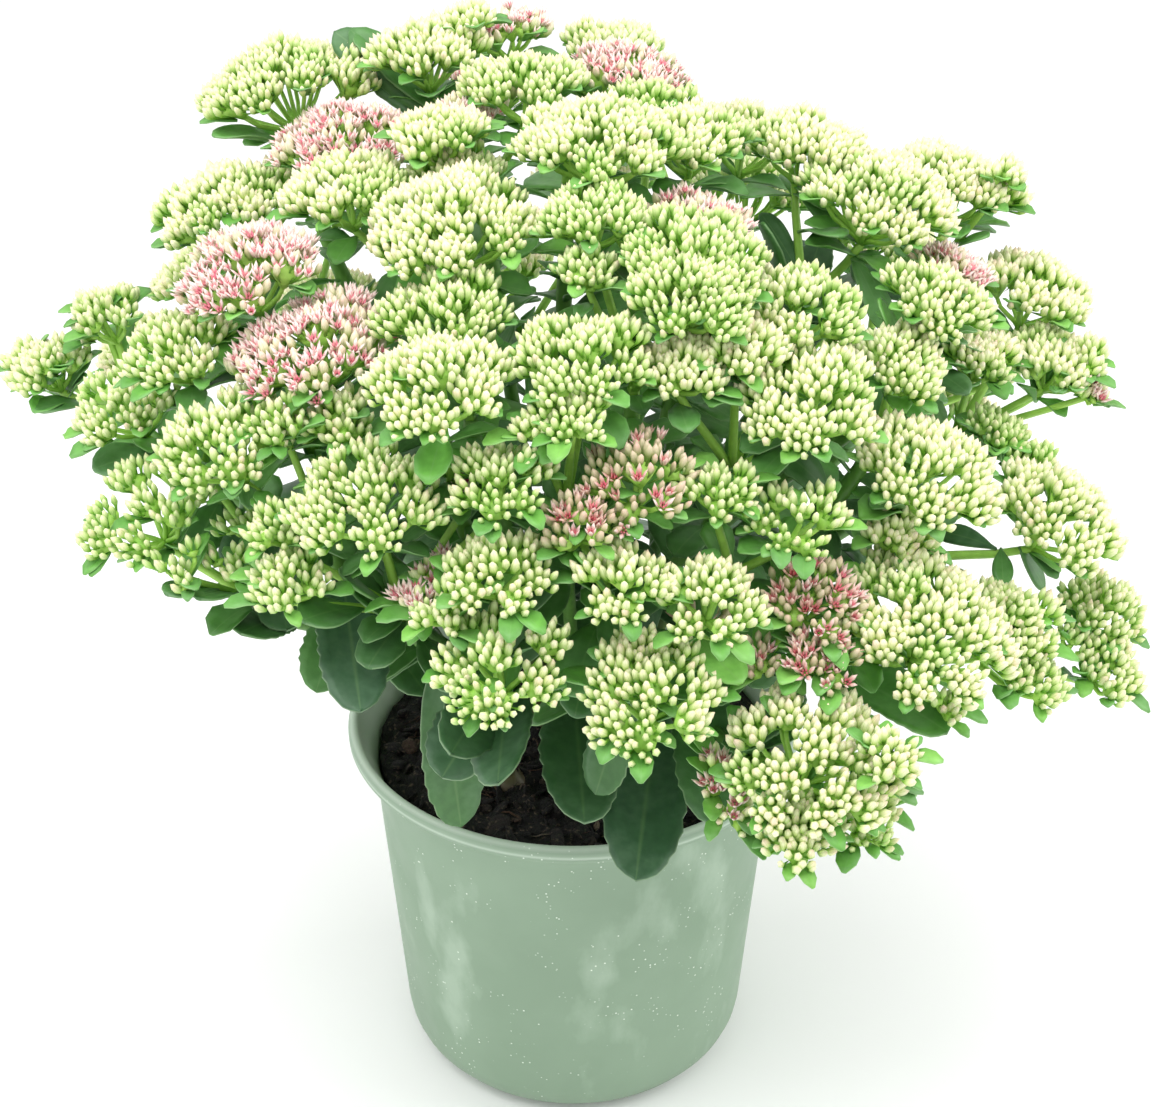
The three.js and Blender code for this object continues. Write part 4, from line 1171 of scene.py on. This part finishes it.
def dressDome(batch, dome, foot, kind, ripe, loose, rng, collar=True):
    centre, radius, high = np.array(dome[:3], float), dome[3] / 2, dome[2]
    axis = domeAxis(centre)
    neck = centre - axis * radius * 0.72
    grown = 1 + headLook["lowBuds"] * np.clip((400 - high) / 90, 0, 1)
    thick = headLook["branchRadius"] * (0.75 + 0.01 * radius)
    bend = np.array([foot, foot + (neck - foot) * 0.4 + up * 1.5, neck - axis * radius * 0.15, neck])
    addTube(batch, bend, thick * 1.1, thick * 0.85)
    for cyme in cymes(dome, rng):
        dressCluster(batch, cyme, neck, axis, radius, grown, kind, ripe, loose, rng)
    count = 4 if radius > 20 else 3 if radius > 15 else 2
    addCollar(batch, neck, axis, radius, high, count if collar else 0, rng)


def addBuds(batch, spots, ways, share, root, ripe, grown, rng):
    count = len(spots)
    if not count:
        return
    size = rng.normal(1, 0.09, count) * (1 - 0.1 * share) * (0.72 + 0.28 * ripe) * grown
    lengths = headLook["budLength"] * size * rng.uniform(0.86, 1.16, count)
    bases = spots - ways * (lengths * 0.8)[:, None]
    ends = root + (bases - root) * 0.3
    places = standing(budShape, bases, ways, lengths, headLook["budWidth"] * size, ends,
                      rng.normal(0, 1, (count, 3)))
    addCopies(batch, budShape, places * mm, rng.random(count),
              np.clip(ripe + rng.normal(0, 0.1, count), 0, 1))


def addFlowers(batch, spots, ways, root, ripe, rng):
    for shape, part in zip(openFlowers, np.array_split(rng.permutation(len(spots)), 3)):
        if len(part):
            size = headLook["flowerWidth"] * rng.normal(1, 0.07, len(part))
            bases = spots[part] - ways[part] * (size * 0.5)[:, None]
            ends = root + (bases - root) * 0.3
            places = standing(shape, bases, ways[part], size, size, ends,
                              rng.normal(0, 1, (len(part), 3)))
            addCopies(batch, shape, places * mm, rng.random(len(part)),
                      np.clip(ripe + rng.normal(0, 0.15, len(part)), 0, 1))


def dressHead(name, kind, ripe, domes, rng):
    batch = startBatch()
    hub, direction, droop = shootHub(domes)
    foot = hub - direction * habit["branch"]
    if len(domes) > 1:
        bend = foot + direction * np.linspace(0, 5, rayRings)[:, None]
        addOne(batch, rayTube, tubeAlong(rayTube, bend, np.linspace(2.4, 2.2, rayRings)), 0.6)
    for number, dome in enumerate(domes):
        dressDome(batch, dome, branchFoot(domes), kind, lateDomes.get((name, number), ripe),
                  looseHeads.get(name, 0.0), rng)
    others = sideClusters.get(name, [])
    for its, *cluster, ripeness in others:
        dressDome(batch, cluster, branchFoot(domes), its, ripeness, 0.6, rng, collar=False)
    for leaf in leavesOnHeads:
        if leaf["shoot"] == name:
            shape = leafShapes[leaf["kind"]][0]
            addOne(batch, shape, leafPlace(shape, leaf, rng, leafThick), leaf["tint"])
    # a whorl of small leaves where the branches start
    start = rng.uniform(0, 2 * pi)
    for i in range(headLook["whorl"]):
        away = turned(direction, start + pi / 2 * i + rng.uniform(-0.3, 0.3))
        way = unit(away + direction * rng.uniform(0.5, 1.0) + up * droop)
        addBract(batch, foot + direction * rng.uniform(0, 4), way, rng.uniform(18, 27), rng,
                 rng.uniform(0.4, 0.85), width=0.5, sag=0.25, kind="collar")
    skins = ["bud" if kind == "bud" else "flowerBud", "leaf", "sprig"]
    if kind == "flower" or any(its == "flower" for its, *_ in others):
        skins += ["petal", "carpel"]
    piece = finishBatch(batch, name, skins)
    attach(piece, "root")
    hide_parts("head_" + name)


for order, (name, _, kind, ripe, domes) in enumerate(shoots):
    dressHead(name, kind, ripe, domes, np.random.default_rng(order))
print("heads made:", len(shoots))

# pot and peat

potLook = {
    "sides": 128, "holes": 6, "holeRadius": 0.004, "holeRing": 0.042, "lipFrom": 0.146,
    # radius and height in millimetres, from the middle of the underside round to the inside
    "outside": [(0, 0.6), (48, 0.6), (50, 0), (55, 0), (60, 0.7), (64.6, 2.5), (69, 6.1), (72.4, 10.5),
                (74.2, 15), (75, 19.5), (78.9, 71), (82.3, 115), (84.6, 146), (85.6, 150.5), (87.4, 153.8),
                (89.6, 156), (92.2, 157.6), (93.6, 158.2), (94.5, 158.9), (94.9, 159.8), (94.6, 160.5),
                (94.7, 161.2), (95, 162.2), (94.7, 163.4), (94.0, 164.4), (93.0, 164.9)],
    "inside": [(92.1, 165), (91.3, 164.7), (90.7, 163.8), (90.4, 162.4), (88.8, 158), (86.4, 154),
               (83.6, 148.5), (80.4, 115), (77.0, 71), (73.1, 20), (72.0, 14.5), (69.6, 10), (66, 6.4),
               (61, 3.6), (55, 2.6), (0, 2.4)],
}


def lathe(profile, sides):
    bm = bmesh.new()
    verts = [bm.verts.new((radius * mm, 0, height * mm)) for radius, height in profile]
    edges = [bm.edges.new(pair) for pair in zip(verts, verts[1:])]
    bmesh.ops.spin(bm, geom=verts + edges, cent=(0, 0, 0), axis=(0, 0, 1), angle=2 * pi, steps=sides,
                   use_merge=True)
    bmesh.ops.remove_doubles(bm, verts=bm.verts, dist=1e-6)
    bmesh.ops.recalc_face_normals(bm, faces=bm.faces)
    return bm


def makePot():
    pot = addPiece("nursery_pot", meshOf("nursery_pot", lathe(potLook["outside"] + potLook["inside"],
                                                              potLook["sides"])))
    drill = bmesh.new()
    for i in range(potLook["holes"]):
        turn = 2 * pi * (i + 0.5) / potLook["holes"]
        place = Matrix.Translation((potLook["holeRing"] * cos(turn), potLook["holeRing"] * sin(turn), 0))
        bmesh.ops.create_cone(drill, cap_ends=True, segments=24, radius1=potLook["holeRadius"],
                              radius2=potLook["holeRadius"], depth=0.012, matrix=place)
    cutter = addPiece("drill", meshOf("drill", drill))
    cut = pot.modifiers.new("drain", "BOOLEAN")
    cut.object = cutter
    cut.operation = "DIFFERENCE"
    cut.solver = "EXACT"
    drilled = bpy.data.meshes.new_from_object(pot.evaluated_get(bpy.context.evaluated_depsgraph_get()))
    pot.modifiers.clear()
    pot.data = drilled
    bpy.data.objects.remove(cutter)
    drilled.materials.clear()
    drilled.materials.append(finishes["pot"])
    drilled.shade_smooth()
    # painted light: points on the inside of the lip are marked, so that the pot's finish paints them paler
    # as if lit
    lip = drilled.attributes.new("inside", "FLOAT", "POINT")
    for v in drilled.vertices:
        inwards = v.co.x * v.normal.x + v.co.y * v.normal.y < -0.3 * hypot(v.co.x, v.co.y)
        lip.data[v.index].value = float(inwards and v.co.z > potLook["lipFrom"])
    drilled.set_sharp_from_angle(angle=radians(40))
    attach(pot, "root")
    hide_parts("pot")


peatLook = {
    "rings": 40, "sides": 120, "edge": 82.4, "chips": 560, "fibres": 270, "lump": 2.6,
    "side": [(0, 2.9), (54, 3.1), (60.3, 4.2), (65.2, 6.8), (68.6, 10.2), (71, 14.6), (72.3, 20),
             (76.4, 71), (79.8, 115)],
}


def peatBump(x, y):
    return peatLook["lump"] * (0.6 * sin(x * 0.11 + 1.3) * cos(y * 0.13) + 0.4 * sin(x * 0.27 - y * 0.21)
                               + 0.3 * cos(x * 0.35 + y * 0.31 + 0.6))


def peatLevel(x, y):
    # top of the crumbly peat in millimetres
    reach = np.hypot(x, y)
    crumbs = (noise.noise(Vector((x, y, 3)) * 0.09) * 2.6 + noise.noise(Vector((x, y, 9)) * 0.25) * 1.8
              + noise.noise(Vector((x, y, 5)) * 0.7) * 0.9)
    edge = max(0.0, reach - 70) * 0.22
    return peatTop + 1 + peatBump(x, y) * 0.8 + crumbs - edge


def makePeat():
    rng = np.random.default_rng(5)
    edge = peatLook["edge"]
    profile = peatLook["side"] + [(edge - 0.3, 146)]
    profile += [(edge * (1 - i / peatLook["rings"]), peatTop) for i in range(peatLook["rings"] + 1)]
    bm = lathe(profile, peatLook["sides"])
    for v in bm.verts:
        if v.co.z > (peatTop - 0.5) * mm:
            v.co.z = peatLevel(v.co.x / mm, v.co.y / mm) * mm
    batch = startBatch()
    ground = pattern(bm)
    addCopies(batch, ground, ground["points"][None], [0.25])
    chip = bmesh.new()
    bmesh.ops.create_cube(chip, size=1.0)
    bmesh.ops.bevel(chip, geom=list(chip.edges), offset=0.22, affect="EDGES", segments=1, profile=0.5,
                    material=-1)
    bmesh.ops.transform(chip, matrix=Matrix.Shear("XY", 4, (0.3, 0.2)), verts=chip.verts)
    chip = pattern(chip)
    for _ in range(peatLook["chips"]):
        turn, reach = rng.uniform(0, 2 * pi), edge * 0.97 * np.sqrt(rng.random())
        x, y = reach * cos(turn), reach * sin(turn)
        size = rng.gamma(3.0, 0.8) + 0.9
        shape = np.array([size * rng.uniform(1.2, 3.0), size, size * rng.uniform(0.25, 0.7)])
        spin = np.array(Matrix.Rotation(rng.uniform(0, 2 * pi), 3, "Z")
                        @ Matrix.Rotation(rng.normal(0, 0.5), 3, "X")
                        @ Matrix.Rotation(rng.normal(0, 0.5), 3, "Y"))
        if reach + shape[0] * 0.5 < edge:
            placed = (chip["points"] * shape) @ spin.T + (x, y, peatLevel(x, y) + size * 0.1)
            addOne(batch, chip, placed, np.clip(rng.beta(2, 4.2) * 1.1, 0, 1))
    fibre = tubeShape(4, 5, firstSlot)
    for _ in range(peatLook["fibres"]):
        turn, reach = rng.uniform(0, 2 * pi), (edge - 12) * np.sqrt(rng.random())
        x, y = reach * cos(turn), reach * sin(turn)
        heading, length = rng.uniform(0, 2 * pi), rng.uniform(5, 15)
        path = np.array([[x + cos(heading + s * 0.7) * length * (s - 0.5),
                          y + sin(heading + s * 0.7) * length * (s - 0.5), 0]
                         for s in np.linspace(0, 1, 5)])
        path[:, 2] = [peatLevel(px, py) + rng.uniform(0.1, 1.2) for px, py, _ in path]
        radii = np.array([0.1, 0.32, 0.36, 0.3, 0.08]) * rng.uniform(0.6, 1.5)
        addOne(batch, fibre, tubeAlong(fibre, path, radii), rng.uniform(0.35, 0.95))
    peat = finishBatch(batch, "crumbly_peat", ["peat"])
    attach(peat, "root")
    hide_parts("peat")


makePot()
makePeat()
print("pot and peat made")

total = 0
for piece in bpy.context.scene.objects:
    if piece.type == "MESH" and not piece.hide_render:
        piece.data.calc_loop_triangles()
        total += len(piece.data.loop_triangles)
print("triangles shown:", total)
